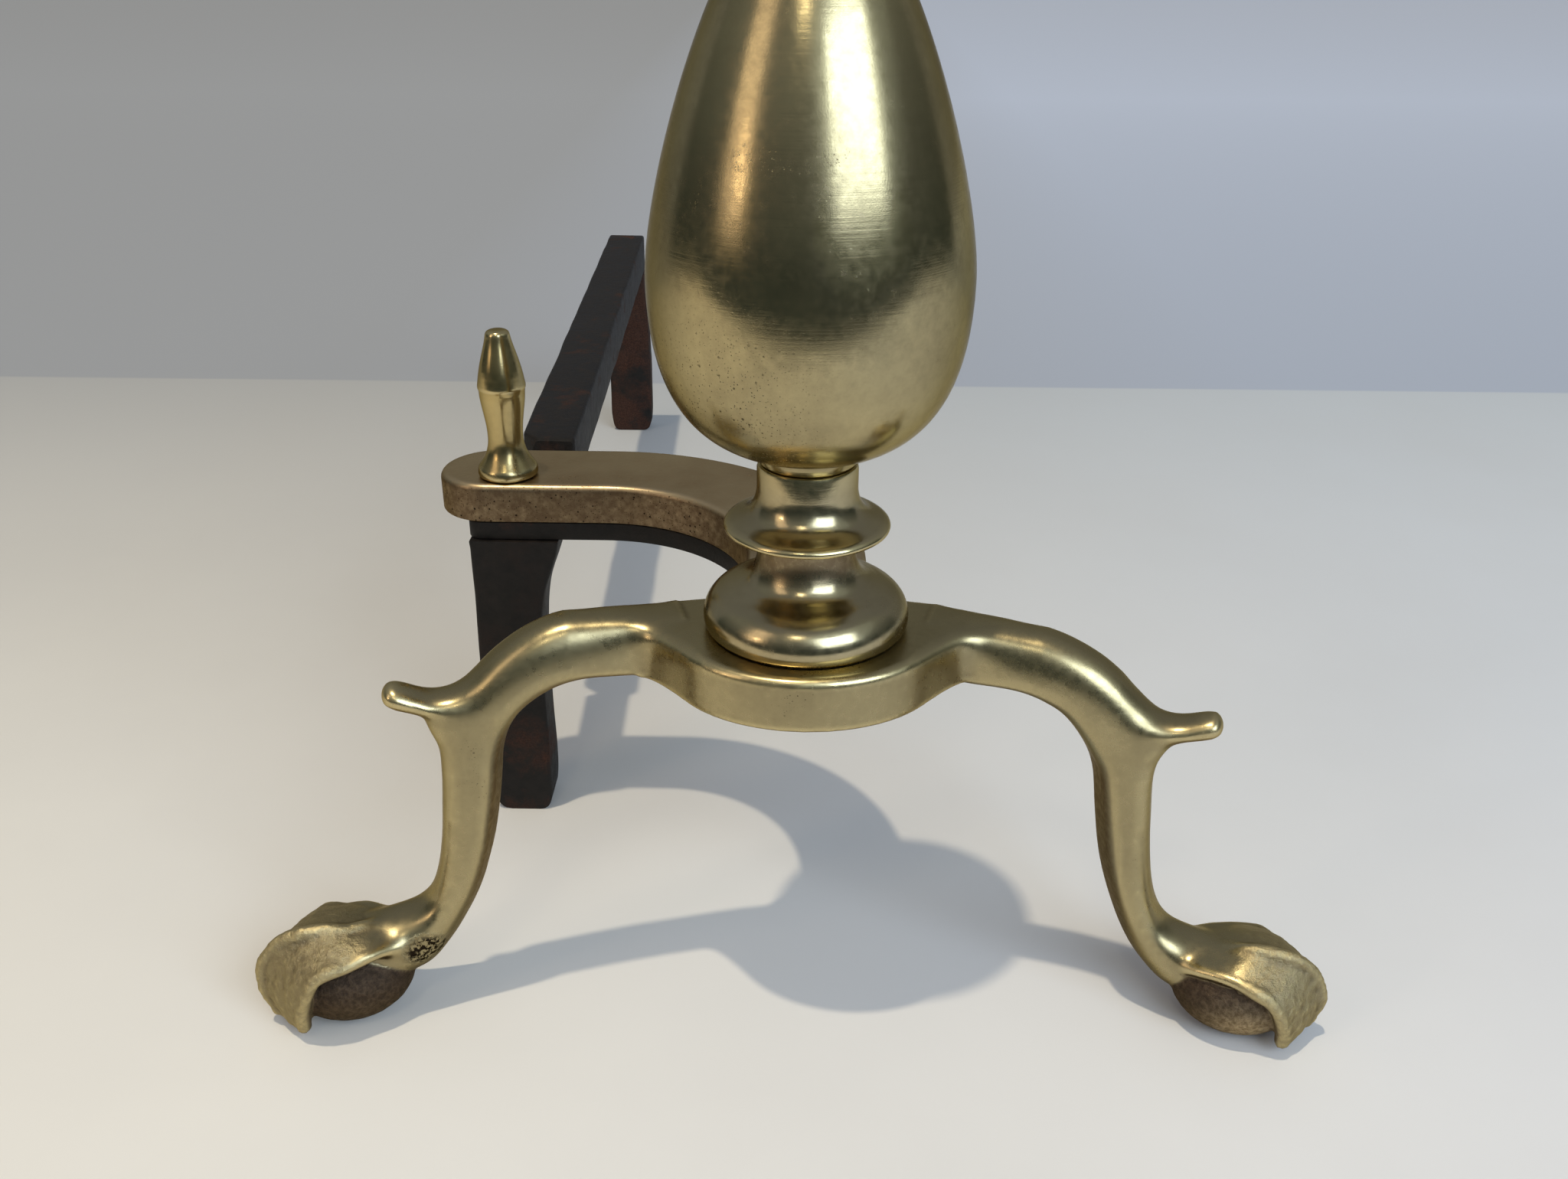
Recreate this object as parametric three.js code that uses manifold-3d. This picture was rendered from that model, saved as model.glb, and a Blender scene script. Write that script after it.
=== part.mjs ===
// A brass andiron with a turned vase column, cabriole legs on claw-and-ball feet,
// and a wrought-iron log bar carried at the end of a swept arm.
// Millimetres, +Z up. The front of the andiron faces -Y and the log bar runs to +Y.
import * as THREE from "three";
import { mergeVertices } from "three/addons/utils/BufferGeometryUtils.js";
import Module from "manifold-3d";

const wasm = await Module();
wasm.setup();

// ---------------------------------------------------------------- driving sizes

// Heights and gaps shared by the whole andiron.
const standHeight = 113; // floor to the top of the front platform
const seatGap = 0.25; // left between two pieces that bear on each other
const holeClearance = 0.3; // round a rod, rivet or screw in its hole

// Front casting: the platform that carries the column.
const platformThickness = 14.5;
const platformFront = 31; // centre of the column to the bowed front
const platformHalfWidth = 36; // half width of the bow, if it went right round
const platformBack = 30; // radius of the round back
const platformRound = 2; // radius of its upper edge
const topPlate = 7; // brass over the hollow under the platform
const bowEnd = 30; // half width at which the bow turns into the leg
const sweepEnd = 43; // half width at which the sweep has become the leg's face
const pocketWall = 5; // brass left round the hollow

// Front casting: the two cabriole legs.
const legSplay = 15.5; // degrees that each leg swings forward
const legDepth = 16; // front face to back face
const legRound = 3; // radius of the long edges
const legPlaneSetback = 15; // where the legs' middle planes cross behind the column
const kneeStart = 60; // distances along a leg, measured from the middle of the andiron
const kneeEnd = 96.8;
const kneeDrop = 18; // how far the knee falls below the platform's top
const ankleWidth = 14.4;
const ankleHeight = 64; // floor to the top of the ankle
const archDrop = 3; // how far the arch sinks where it meets the knee
const spurLength = 13.4; // the tongue that stands out from the knee
const spurHalfWidth = 7.2;
const spurThickness = 11.5;
const spurLift = 6; // rise of the tongue's middle line from root to tip

// Front casting: claw-and-ball feet.
const ballRadius = 14.6;
const ballHalfLength = 20.8; // the ball is drawn out along the leg
const ballHeight = 13.7; // floor to the middle of the ball, which is worn flat below
const ballReach = 126.5; // along the leg, from the middle of the andiron
const talonRadius = 2.9;
const talonTipRadius = 1.4;
const skinSwell = 1.08; // the skin between the talons, as a multiple of the ball
const skinSlope = 40; // degrees that the skin's edge leans back from upright
const skinStart = 3.4; // from the ball's middle to the plane of the skin's edge

// Column: pieces threaded on one tie rod, from the platform up.
const footRadius = 26.1;
const footHeight = 26.2;
const lowerNeckRadius = 11.9;
const collarHeight = 17.6;
const collarRadius = 20.8;
const collarRim = 1.4; // thickness of the collar's thin edge
const upperNeckRadius = 12.5;
const vaseHeight = 130;
const vaseRadius = 38;
const vaseBellyHeight = 45; // base of the vase to its widest ring
const vaseNeckRadius = 10;
const topCollarHeight = 12;
const topCollarRadius = 15.5;
const topNeckRadius = 7.6;
const topFinialHeight = 52;
const topFinialRadius = 12.4;
const tieRodRadius = 4.5;
const tieRodGrip = 24; // length of the rod inside the top finial
const tieRodEnd = 3; // rod showing below the nut
const nutAcrossFlats = 15;
const nutHeight = 7.2;
const washerRadius = 11;
const washerThickness = 1.8;

// Arm: a brass casting on an iron strap, from behind the column to the log bar.
const armWidth = 33;
const armThickness = 12.2;
const armRound = 2.4;
const armTurn = 62.5; // radius of the bend, on the middle line
const armLead = 2.5; // straight length between the platform and the bend
const armEnd = 99; // centre of the column to the middle of the arm's round end
const strapThickness = 5.8;
const strapInset = 0.6; // the strap is this much narrower than the brass, all round
const tongueWidth = 25; // the strap narrows to this under the platform
const tongueEnd = 14; // radius of the strap's eye round the tie rod

// Log stop: a turned finial on the arm.
const stopX = -93; // from the centre of the column
const stopY = 88.5;
const stopHeight = 46;
const stopBaseRadius = 9.4;
const stopBeltRadius = 7.3;
const stopWaistRadius = 5.4;
const stopTipRadius = 3.7;
const studRadius = 2.5;
const studGrip = 18; // length of the stud inside the finial
const studDepth = 14; // length of the stud inside the iron leg

// Iron legs and log bar.
const barSize = 19; // square section
const barRise = 3.6; // top of the bar over the top of the strap
const barSkew = 1.8; // degrees that the bar leans outward as it runs back
const barStart = 144; // centre of the column to the bar's shoulder
const barEnd = 474; // centre of the column to the back of the bar
const barRootX = -86.2; // where the bar's middle line would pass the column
const barChamfer = 7; // the shoulder's outer corner is knocked off
const barEdge = 1.2; // worn edge along the bar
const tangWidth = 16;
const tangThickness = 8;
const ironLegWidth = 20.4;
const ironLegDepth = 16;
const ironLegFront = 78; // centre of the column to the leg's front face
const ironLegOuter = 12; // stop's middle line to the leg's outer face
const ironLegHead = 28; // width where the leg spreads under the strap
const ironLegHeadDrop = 24; // depth of that spread
const rearLegWidth = 23;
const rearLegDepth = 13;
const rearLegTopWidth = 19;
const rearLegShoulder = 30; // depth over which it widens from its top
const legFootRound = 5; // radius of the lower corners of both iron legs
const tenonRadius = 5; // the rear leg's round tenon through the bar
const rivetRadius = 2.4;
const rivetHeadRadius = 3.8;
const rivetHeadHeight = 2.2;
const rivetSpacing = 8.2;
const screwRadius = 2.2;
const screwHeadRadius = 4.5;
const screwHeadHeight = 2.8;
const screwDepth = 8; // length of a screw inside the brass

// ------------------------------------------------------------- worked-out places

const platformBottom = standHeight - platformThickness;
const strapTop = standHeight - topPlate - seatGap;
const strapBottom = strapTop - strapThickness;
const armBottom = strapTop + seatGap;
const armTop = armBottom + armThickness;
const rodHole = tieRodRadius + holeClearance;
const barTop = strapTop + barRise;
const barBottom = barTop - barSize;
const tangTop = strapBottom - seatGap;
const footBase = standHeight + seatGap;
const collarBase = footBase + footHeight + seatGap;
const vaseBase = collarBase + collarHeight + seatGap;
const topCollarBase = vaseBase + vaseHeight + seatGap;
const topFinialBase = topCollarBase + topCollarHeight + seatGap;
const washerTop = strapBottom - seatGap;
const nutTop = washerTop - washerThickness - seatGap;
const splay = THREE.MathUtils.degToRad(legSplay);
const skew = THREE.MathUtils.degToRad(barSkew);
const armStraight = platformBack + armLead; // centre of the column to the bend
const armMiddleY = armStraight + armTurn; // middle line of the arm's straight part

// --------------------------------------------------------------------- materials

const brass = new THREE.MeshStandardMaterial({ color: 0xa58d52, metalness: 1, roughness: 0.3 });
const castBrass = new THREE.MeshStandardMaterial({ color: 0x94804c, metalness: 1, roughness: 0.38 });
const iron = new THREE.MeshStandardMaterial({ color: 0x2a2725, metalness: 0.6, roughness: 0.75 });
const rustyIron = new THREE.MeshStandardMaterial({ color: 0x3b2420, metalness: 0.4, roughness: 0.85 });
const steel = new THREE.MeshStandardMaterial({ color: 0x55524e, metalness: 0.8, roughness: 0.55 });

// ------------------------------------------------------------------ solid helpers

// A closed three.js geometry as a solid for joining and cutting.
function solid(geometry) {
  const bare = geometry.clone();
  bare.deleteAttribute("normal");
  bare.deleteAttribute("uv");
  const merged = mergeVertices(bare, 1e-4);
  return new wasm.Manifold(
    new wasm.Mesh({
      numProp: 3,
      vertProperties: merged.getAttribute("position").array,
      triVerts: new Uint32Array(merged.index.array),
    }),
  );
}

// A solid back as a three.js geometry.
function geometryOf(body) {
  const mesh = body.getMesh();
  const geometry = new THREE.BufferGeometry();
  geometry.setAttribute("position", new THREE.BufferAttribute(mesh.vertProperties, 3));
  geometry.setIndex(new THREE.BufferAttribute(mesh.triVerts, 1));
  return geometry;
}

// An upright cylinder between two heights.
function pin(x, y, low, high, radius, sides = 20) {
  const geometry = new THREE.CylinderGeometry(radius, radius, high - low, sides);
  geometry.rotateX(Math.PI / 2);
  geometry.translate(x, y, (low + high) / 2);
  return solid(geometry);
}

// A block between two corners.
function block(low, high) {
  const geometry = new THREE.BoxGeometry(high[0] - low[0], high[1] - low[1], high[2] - low[2]);
  geometry.translate((low[0] + high[0]) / 2, (low[1] + high[1]) / 2, (low[2] + high[2]) / 2);
  return solid(geometry);
}

// A plan outline raised between two heights, with its upper and lower edges rounded.
function slab(shape, low, high, round, curveSegments = 10) {
  const geometry = new THREE.ExtrudeGeometry(shape, {
    depth: high - low - 2 * round,
    bevelEnabled: round > 0,
    bevelThickness: round,
    bevelSize: round,
    bevelOffset: -round,
    bevelSegments: 2,
    curveSegments,
  });
  geometry.translate(0, 0, low + round);
  return solid(geometry);
}

// A turned piece: its profile holds the radius and the height, anticlockwise from the bore.
function turned(profile, base, divisions, segments) {
  const geometry = new THREE.LatheGeometry(profile.getPoints(divisions), segments);
  geometry.rotateX(Math.PI / 2);
  geometry.translate(0, 0, base);
  return geometry;
}

// A limb of oval section along a smooth line, closed at both ends.
// outward(point) points to the side on which halfHeight is measured.
function limb(points, halfWidths, halfHeights, outward, rings = 10, sides = 10) {
  const line = new THREE.CatmullRomCurve3(points);
  const widths = new THREE.SplineCurve(halfWidths.map((w, i) => new THREE.Vector2(i, w)));
  const heights = new THREE.SplineCurve(halfHeights.map((h, i) => new THREE.Vector2(i, h)));
  const position = [];
  const index = [];
  for (let ring = 0; ring <= rings; ring += 1) {
    const t = ring / rings;
    const centre = line.getPoint(t);
    const along = line.getTangent(t);
    const side = new THREE.Vector3().crossVectors(along, outward(centre)).normalize();
    const up = new THREE.Vector3().crossVectors(side, along).normalize();
    for (let i = 0; i < sides; i += 1) {
      const angle = (2 * Math.PI * i) / sides;
      const vertex = centre.clone();
      vertex.addScaledVector(side, widths.getPoint(t).y * Math.cos(angle));
      vertex.addScaledVector(up, heights.getPoint(t).y * Math.sin(angle));
      position.push(vertex.x, vertex.y, vertex.z);
    }
  }
  for (let ring = 0; ring < rings; ring += 1) {
    for (let i = 0; i < sides; i += 1) {
      const a = ring * sides + i;
      const b = ring * sides + ((i + 1) % sides);
      index.push(a, a + sides, b, b, a + sides, b + sides);
    }
  }
  const first = line.getPoint(0);
  const last = line.getPoint(1);
  position.push(first.x, first.y, first.z, last.x, last.y, last.z);
  const firstIndex = (rings + 1) * sides;
  for (let i = 0; i < sides; i += 1) {
    const next = (i + 1) % sides;
    index.push(firstIndex, i, next);
    index.push(firstIndex + 1, rings * sides + next, rings * sides + i);
  }
  const geometry = new THREE.BufferGeometry();
  geometry.setAttribute("position", new THREE.Float32BufferAttribute(position, 3));
  geometry.setIndex(index);
  return solid(geometry);
}

const andiron = new THREE.Group();

// Adds one named piece, at the andiron's own coordinates.
function piece(name, geometry, material) {
  const mesh = new THREE.Mesh(geometry, material);
  mesh.name = name;
  andiron.add(mesh);
  return mesh;
}

// ------------------------------------------------------------------ front casting

// Front or back face of a leg in plan: side is -1 for the front and 1 for the back.
function legFaceY(x, side) {
  return legPlaneSetback + (side * legDepth) / 2 / Math.cos(splay) - x * Math.tan(splay);
}

// The platform: a bow in front, reverse curves into the legs' roots, and a round back.
function platformShape(inset) {
  const bow = platformFront - inset;
  const bowWidth = platformHalfWidth - inset;
  const turn = Math.asin((bowEnd - inset) / bowWidth); // angle at which the bow ends
  const startX = bowEnd - inset;
  const startY = -bow * Math.cos(turn);
  const slope = (bow * Math.sin(turn)) / (bowWidth * Math.cos(turn));
  const faceX = sweepEnd - inset;
  const faceY = legFaceY(faceX, -1) + inset;
  const legSlope = -Math.tan(splay);
  const reach = (faceY - startY - legSlope * (faceX - startX)) / (slope - legSlope);
  const cornerX = startX + reach;
  const cornerY = startY + slope * reach;
  const rootX = kneeStart - 6 - inset;
  const back = platformBack - inset;
  const backAngle = Math.acos((back * 0.87) / back);
  const backX = back * Math.cos(backAngle);
  const backY = back * Math.sin(backAngle);
  const shape = new THREE.Shape();
  shape.moveTo(0, -bow);
  shape.absellipse(0, 0, bowWidth, bow, -Math.PI / 2, -Math.PI / 2 + turn, false, 0);
  shape.quadraticCurveTo(cornerX, cornerY, faceX, faceY);
  shape.lineTo(rootX, legFaceY(rootX, -1) + inset);
  shape.lineTo(rootX, legFaceY(rootX, 1) - inset);
  shape.lineTo(backX, backY);
  shape.absarc(0, 0, back, backAngle, Math.PI - backAngle, false);
  shape.lineTo(-rootX, legFaceY(rootX, 1) - inset);
  shape.lineTo(-rootX, legFaceY(rootX, -1) + inset);
  shape.lineTo(-faceX, faceY);
  shape.quadraticCurveTo(-cornerX, cornerY, -startX, startY);
  shape.absellipse(0, 0, bowWidth, bow, -Math.PI / 2 - turn, -Math.PI / 2, false, 0);
  return shape;
}

// A leg from the side: x runs outward along the leg and y is the height.
function legShape() {
  const top = standHeight;
  const kneeZ = top - kneeDrop;
  const outer = kneeEnd;
  const inner = kneeEnd - ankleWidth;
  const rootX = bowEnd - 10;
  const toe = ballReach - ballHalfLength;
  const instep = ballHeight + 0.85 * ballRadius;
  const arch = platformBottom - archDrop;
  const shape = new THREE.Shape();
  shape.moveTo(rootX, top);
  shape.lineTo(kneeStart, top);
  shape.bezierCurveTo(kneeStart + 15, top, outer - 12, kneeZ + 2.5, outer, kneeZ);
  shape.lineTo(outer, ankleHeight);
  shape.bezierCurveTo(outer + 1, ankleHeight - 17, outer + 4, instep, ballReach - 11, instep);
  shape.lineTo(ballReach, ballHeight + 8);
  shape.lineTo(ballReach, ballHeight - 5);
  shape.lineTo(toe + 1, ballHeight - 4);
  shape.bezierCurveTo(inner + 10, ballHeight + 7, inner + 1, ankleHeight - 26, inner, ankleHeight);
  shape.bezierCurveTo(inner, arch - 14, inner - 8, arch - 3, inner - 23, arch);
  shape.lineTo(sweepEnd, platformBottom);
  shape.lineTo(rootX, platformBottom);
  return shape;
}

// A point given as fractions of the ball's half length and radius from its middle.
function byBall([along, across, up]) {
  return new THREE.Vector3(
    ballReach + along * ballHalfLength,
    across * ballRadius,
    ballHeight + up * ballRadius,
  );
}

const ballCentre = byBall([0, 0, 0]);
const awayFromBall = (point) => point.clone().sub(ballCentre);
const upward = () => new THREE.Vector3(0, 0, 1);

// Middle lines of the talons, from the ankle over a knuckle to the nail.
const middleTalon = [
  [-0.9, 0, 0.7],
  [-0.5, 0, 0.86],
  [-0.17, 0, 0.95],
  [0.2, 0, 0.98],
  [0.55, 0, 0.88],
  [0.9, 0, 0.62],
  [1.1, 0, 0.16],
  [1.14, 0, -0.27],
  [1.04, 0, -0.66],
];
const sideTalon = [
  [-0.95, 0.16, 0.5],
  [-0.55, 0.5, 0.66],
  [-0.22, 0.66, 0.71],
  [0.05, 0.75, 0.65],
  [0.24, 0.8, 0.56],
  [0.42, 0.85, 0.4],
  [0.57, 0.86, 0.1],
  [0.64, 0.76, -0.34],
  [0.63, 0.6, -0.7],
];

function talon(line, side) {
  const points = line.map(([along, across, up]) => byBall([along, side * across, up]));
  const widths = points.map(() => talonRadius);
  widths[widths.length - 3] = talonRadius * 0.92;
  widths[widths.length - 2] = talonRadius * 0.78;
  widths[widths.length - 1] = talonTipRadius;
  return limb(points, widths, widths, awayFromBall, 13, 7);
}

// An egg-shaped solid on the ball's middle.
function egg(swell) {
  const geometry = new THREE.SphereGeometry(ballRadius * swell, 18, 12);
  geometry.scale(ballHalfLength / ballRadius, 1, 1);
  geometry.translate(ballReach, 0, ballHeight);
  return solid(geometry);
}

// The foot: ball, three talons, and the skin stretched between them on the outer side.
function clawFoot() {
  const reach = 3 * ballHalfLength;
  const outerHalf = new THREE.BoxGeometry(reach, reach, reach);
  outerHalf.translate(reach / 2 + skinStart, 0, 0);
  outerHalf.rotateY(-THREE.MathUtils.degToRad(skinSlope));
  outerHalf.translate(ballReach, 0, ballHeight);
  return egg(1)
    .add(egg(skinSwell).intersect(solid(outerHalf)))
    .add(talon(sideTalon, -1))
    .add(talon(middleTalon, 0))
    .add(talon(sideTalon, 1));
}

// The tongue that stands out from the knee.
function spur() {
  const half = spurThickness / 2;
  const rootZ = standHeight - kneeDrop - half + 1.5;
  const points = [
    new THREE.Vector3(kneeEnd - 12, 0, rootZ + 1.5),
    new THREE.Vector3(kneeEnd - 1, 0, rootZ),
    new THREE.Vector3(kneeEnd + spurLength * 0.5, 0, rootZ + spurLift * 0.5),
    new THREE.Vector3(kneeEnd + spurLength * 0.82, 0, rootZ + spurLift * 0.86),
    new THREE.Vector3(kneeEnd + spurLength, 0, rootZ + spurLift),
  ];
  const widths = [spurHalfWidth, spurHalfWidth, spurHalfWidth * 0.9, spurHalfWidth * 0.68, 1.4];
  const heights = [half * 0.8, half, half * 0.7, half * 0.42, 0.8];
  return limb(points, widths, heights, upward, 9, 10);
}

// One leg in its own middle plane, thickness along y.
function legGeometry() {
  const geometry = new THREE.ExtrudeGeometry(legShape(), {
    depth: legDepth - 2 * legRound,
    bevelEnabled: true,
    bevelThickness: legRound,
    bevelSize: legRound,
    bevelOffset: -legRound,
    bevelSegments: 2,
    curveSegments: 9,
  });
  geometry.translate(0, 0, -(legDepth - 2 * legRound) / 2);
  geometry.rotateX(Math.PI / 2);
  return geometryOf(solid(geometry).add(spur()).add(clawFoot()));
}

// The whole casting: platform, legs, the hollow underneath and the rod's hole.
function frontBase() {
  const leg = legGeometry();
  const right = leg.clone();
  right.rotateZ(-splay);
  right.translate(0, legPlaneSetback, 0);
  const left = leg.clone();
  left.rotateZ(Math.PI + splay);
  left.translate(0, legPlaneSetback, 0);
  const cavityTop = standHeight - topPlate;
  const cavity = new THREE.Shape();
  cavity.absellipse(0, 0, platformHalfWidth - 2 * pocketWall, platformFront - pocketWall, 0, 2 * Math.PI);
  const wayIn = tongueWidth / 2 + 2 * holeClearance + 1;
  const below = -2 * ballRadius;
  return slab(platformShape(0), platformBottom, standHeight, platformRound, 8)
    .add(solid(right))
    .add(solid(left))
    .subtract(slab(cavity, platformBottom - 1, cavityTop, 0, 16))
    .subtract(block([-wayIn, 0, platformBottom - 1], [wayIn, platformBack + 5, cavityTop]))
    .subtract(pin(0, 0, platformBottom, standHeight + 1, rodHole))
    .subtract(block([-2 * ballReach, -2 * ballReach, below], [2 * ballReach, ballReach, 0]));
}

piece("front_base", geometryOf(frontBase()), castBrass);

// ------------------------------------------------------------------------- column

// The cushion that the column stands on, with the neck above it.
function columnFootProfile() {
  const r = footRadius;
  const neck = lowerNeckRadius;
  const h = footHeight;
  const profile = new THREE.Path();
  profile.moveTo(rodHole, 0);
  profile.lineTo(r - 0.7, 0);
  profile.lineTo(r - 0.1, h * 0.08);
  profile.bezierCurveTo(r + 0.2, h * 0.25, r * 0.83, h * 0.5, neck + 1.7, h * 0.66);
  profile.quadraticCurveTo(neck, h * 0.69, neck, h * 0.76);
  profile.lineTo(neck, h);
  profile.lineTo(rodHole, h);
  profile.lineTo(rodHole, 0);
  return profile;
}

// The thin flared collar, with the neck that rises from it to the vase.
function neckCollarProfile() {
  const neck = upperNeckRadius;
  const h = collarHeight;
  const profile = new THREE.Path();
  profile.moveTo(rodHole, 0);
  profile.lineTo(lowerNeckRadius, 0);
  profile.quadraticCurveTo(collarRadius - 4, 0.3, collarRadius - 0.5, 1.5);
  profile.quadraticCurveTo(collarRadius, 1.5 + collarRim / 2, collarRadius - 0.5, 1.5 + collarRim);
  profile.bezierCurveTo(collarRadius - 4, h * 0.25, neck + 0.4, h * 0.3, neck, h * 0.62);
  profile.lineTo(neck, h - 1);
  profile.lineTo(neck - 0.8, h);
  profile.lineTo(rodHole, h);
  profile.lineTo(rodHole, 0);
  return profile;
}

// The vase: a round belly low down, drawn in to a slender neck.
function vaseProfile() {
  const r = vaseRadius;
  const belly = vaseBellyHeight;
  const h = vaseHeight;
  const rise = h - belly;
  const profile = new THREE.Path();
  profile.moveTo(rodHole, 0);
  profile.lineTo(upperNeckRadius - 0.8, 0);
  profile.lineTo(upperNeckRadius + 0.3, 3);
  profile.bezierCurveTo(r * 0.71, belly * 0.145, r, belly * 0.36, r, belly);
  profile.bezierCurveTo(
    r,
    belly + rise * 0.2,
    r * 0.71,
    belly + rise * 0.65,
    r * 0.4,
    belly + rise * 0.853,
  );
  profile.quadraticCurveTo(vaseNeckRadius, h - rise * 0.06, vaseNeckRadius, h);
  profile.lineTo(rodHole, h);
  profile.lineTo(rodHole, 0);
  return profile;
}

// The small collar on top of the vase's neck.
function topCollarProfile() {
  const r = topCollarRadius;
  const h = topCollarHeight;
  const profile = new THREE.Path();
  profile.moveTo(rodHole, 0);
  profile.lineTo(vaseNeckRadius, 0);
  profile.quadraticCurveTo(r - 2, 0.3, r - 0.5, 1.4);
  profile.quadraticCurveTo(r, 1.4 + collarRim / 2, r - 0.5, 1.4 + collarRim);
  profile.bezierCurveTo(r - 3, h * 0.36, topNeckRadius, h * 0.4, topNeckRadius, h * 0.8);
  profile.lineTo(topNeckRadius, h);
  profile.lineTo(rodHole, h);
  profile.lineTo(rodHole, 0);
  return profile;
}

// A finial: foot, waist, a bell that swells to a belt, and a cap drawn in to a flat tip.
function finialProfile(base, waist, belt, tip, height, bore, grip) {
  const profile = new THREE.Path();
  profile.moveTo(0, grip);
  profile.lineTo(bore, grip);
  profile.lineTo(bore, 0);
  profile.lineTo(base - 0.9, 0);
  profile.quadraticCurveTo(base + 0.2, height * 0.03, base - 0.5, height * 0.065);
  profile.bezierCurveTo(base - 2.2, height * 0.12, waist, height * 0.17, waist, height * 0.27);
  profile.bezierCurveTo(waist, height * 0.4, belt - 0.4, height * 0.48, belt - 0.3, height * 0.6);
  profile.lineTo(belt, height * 0.62);
  profile.lineTo(belt - 0.2, height * 0.645);
  profile.bezierCurveTo(belt - 0.9, height * 0.78, tip + 0.6, height * 0.88, tip, height * 0.975);
  profile.quadraticCurveTo(tip * 0.8, height, 0, height);
  return profile;
}

piece("column_foot", turned(columnFootProfile(), footBase, 5, 36), brass);
piece("neck_collar", turned(neckCollarProfile(), collarBase, 4, 32), brass);
piece("vase_body", turned(vaseProfile(), vaseBase, 6, 40), brass);
piece("top_collar", turned(topCollarProfile(), topCollarBase, 3, 28), brass);

const topGrip = tieRodGrip + holeClearance;
piece(
  "top_finial",
  turned(
    finialProfile(
      topNeckRadius + 2.6,
      topNeckRadius - 1.2,
      topFinialRadius,
      topNeckRadius - 1.8,
      topFinialHeight,
      rodHole,
      topGrip,
    ),
    topFinialBase,
    3,
    28,
  ),
  brass,
);

// The iron rod that draws the column down on to the platform, with its washer and nut.
const rodTop = topFinialBase + tieRodGrip;
const rodBottom = nutTop - nutHeight - tieRodEnd;
piece("tie_rod", geometryOf(pin(0, 0, rodBottom, rodTop, tieRodRadius)), steel);

const washer = pin(0, 0, washerTop - washerThickness, washerTop, washerRadius, 28);
const washerHole = pin(0, 0, washerTop - 2 * washerThickness, washerTop + 1, rodHole);
piece("tie_rod_washer", geometryOf(washer.subtract(washerHole)), steel);

const nutRadius = nutAcrossFlats / 2 / Math.cos(Math.PI / 6);
const nut = pin(0, 0, nutTop - nutHeight, nutTop, nutRadius, 6);
const nutHole = pin(0, 0, nutTop - 2 * nutHeight, nutTop + 1, rodHole);
piece("tie_rod_nut", geometryOf(nut.subtract(nutHole)), steel);

// ---------------------------------------------------------------------------- arm

// The arm in plan: straight back from the column, a quarter bend, and a round far end.
function armShape(width, start) {
  const half = width / 2;
  const shape = new THREE.Shape();
  shape.moveTo(half, start);
  shape.lineTo(half, armStraight);
  shape.absarc(-armTurn, armStraight, armTurn + half, 0, Math.PI / 2, false);
  shape.lineTo(-armEnd, armMiddleY + half);
  shape.absarc(-armEnd, armMiddleY, half, Math.PI / 2, (3 * Math.PI) / 2, false);
  shape.lineTo(-armTurn, armMiddleY - half);
  shape.absarc(-armTurn, armStraight, armTurn - half, Math.PI / 2, 0, true);
  shape.lineTo(-half, start);
  return shape;
}

// The middle line of the arm, as an angle round its bend.
function onBend(angle) {
  return [-armTurn + armTurn * Math.cos(angle), armStraight + armTurn * Math.sin(angle)];
}

const screwPlaces = [onBend(0.16 * Math.PI), onBend(0.42 * Math.PI)];
const stopHole = studRadius + holeClearance;
const legBack = ironLegFront + ironLegDepth + seatGap;
const tangEnd = (legBack + (tangWidth / 2) * Math.sin(skew)) / Math.cos(skew);
const armBackEdge = armMiddleY + armWidth / 2;

// The bar's middle line at a distance back from the column.
function barX(y) {
  return barRootX - y * Math.tan(skew);
}

const rivetY = (tangEnd + armBackEdge) / 2 - strapInset;
const rivetPlaces = [-1, 1].map((side) => [barX(rivetY) + (side * rivetSpacing) / 2, rivetY]);

// The brass arm, hollowed at its root to fit round the back of the platform.
function brassArm() {
  let body = slab(armShape(armWidth, platformBack - 12), armBottom, armTop, armRound, 14);
  const around = pin(0, 0, armBottom - 1, armTop + 1, platformBack + holeClearance, 60);
  body = body.subtract(around);
  body = body.subtract(pin(stopX, stopY, armBottom - 1, armTop + 1, stopHole, 16));
  for (const [x, y] of screwPlaces) {
    const hole = screwRadius + holeClearance;
    body = body.subtract(pin(x, y, armBottom - 1, armBottom + screwDepth + holeClearance, hole, 12));
  }
  return body;
}

// The iron strap under the brass: it narrows to a tongue with an eye for the tie rod.
function ironStrap() {
  const width = armWidth - 2 * strapInset;
  let body = slab(armShape(width, platformBack + armLead / 2), strapBottom, strapTop, 0, 12);
  const half = tongueWidth / 2;
  body = body.add(block([-half, 0, strapBottom], [half, platformBack + 4, strapTop]));
  body = body.add(pin(0, 0, strapBottom, strapTop, tongueEnd - 1.5, 28));
  body = body.subtract(pin(0, 0, strapBottom - 1, strapTop + 1, rodHole));
  body = body.subtract(pin(stopX, stopY, strapBottom - 1, strapTop + 1, stopHole, 16));
  for (const [x, y] of screwPlaces) {
    const hole = screwRadius + holeClearance;
    body = body.subtract(pin(x, y, strapBottom - 1, strapTop + 1, hole, 12));
  }
  for (const [x, y] of rivetPlaces) {
    const hole = rivetRadius + holeClearance;
    body = body.subtract(pin(x, y, strapBottom - 1, strapTop + 1, hole, 12));
  }
  return body;
}

piece("brass_arm", geometryOf(brassArm()), castBrass);
piece("iron_under_arm", geometryOf(ironStrap()), iron);

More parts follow.
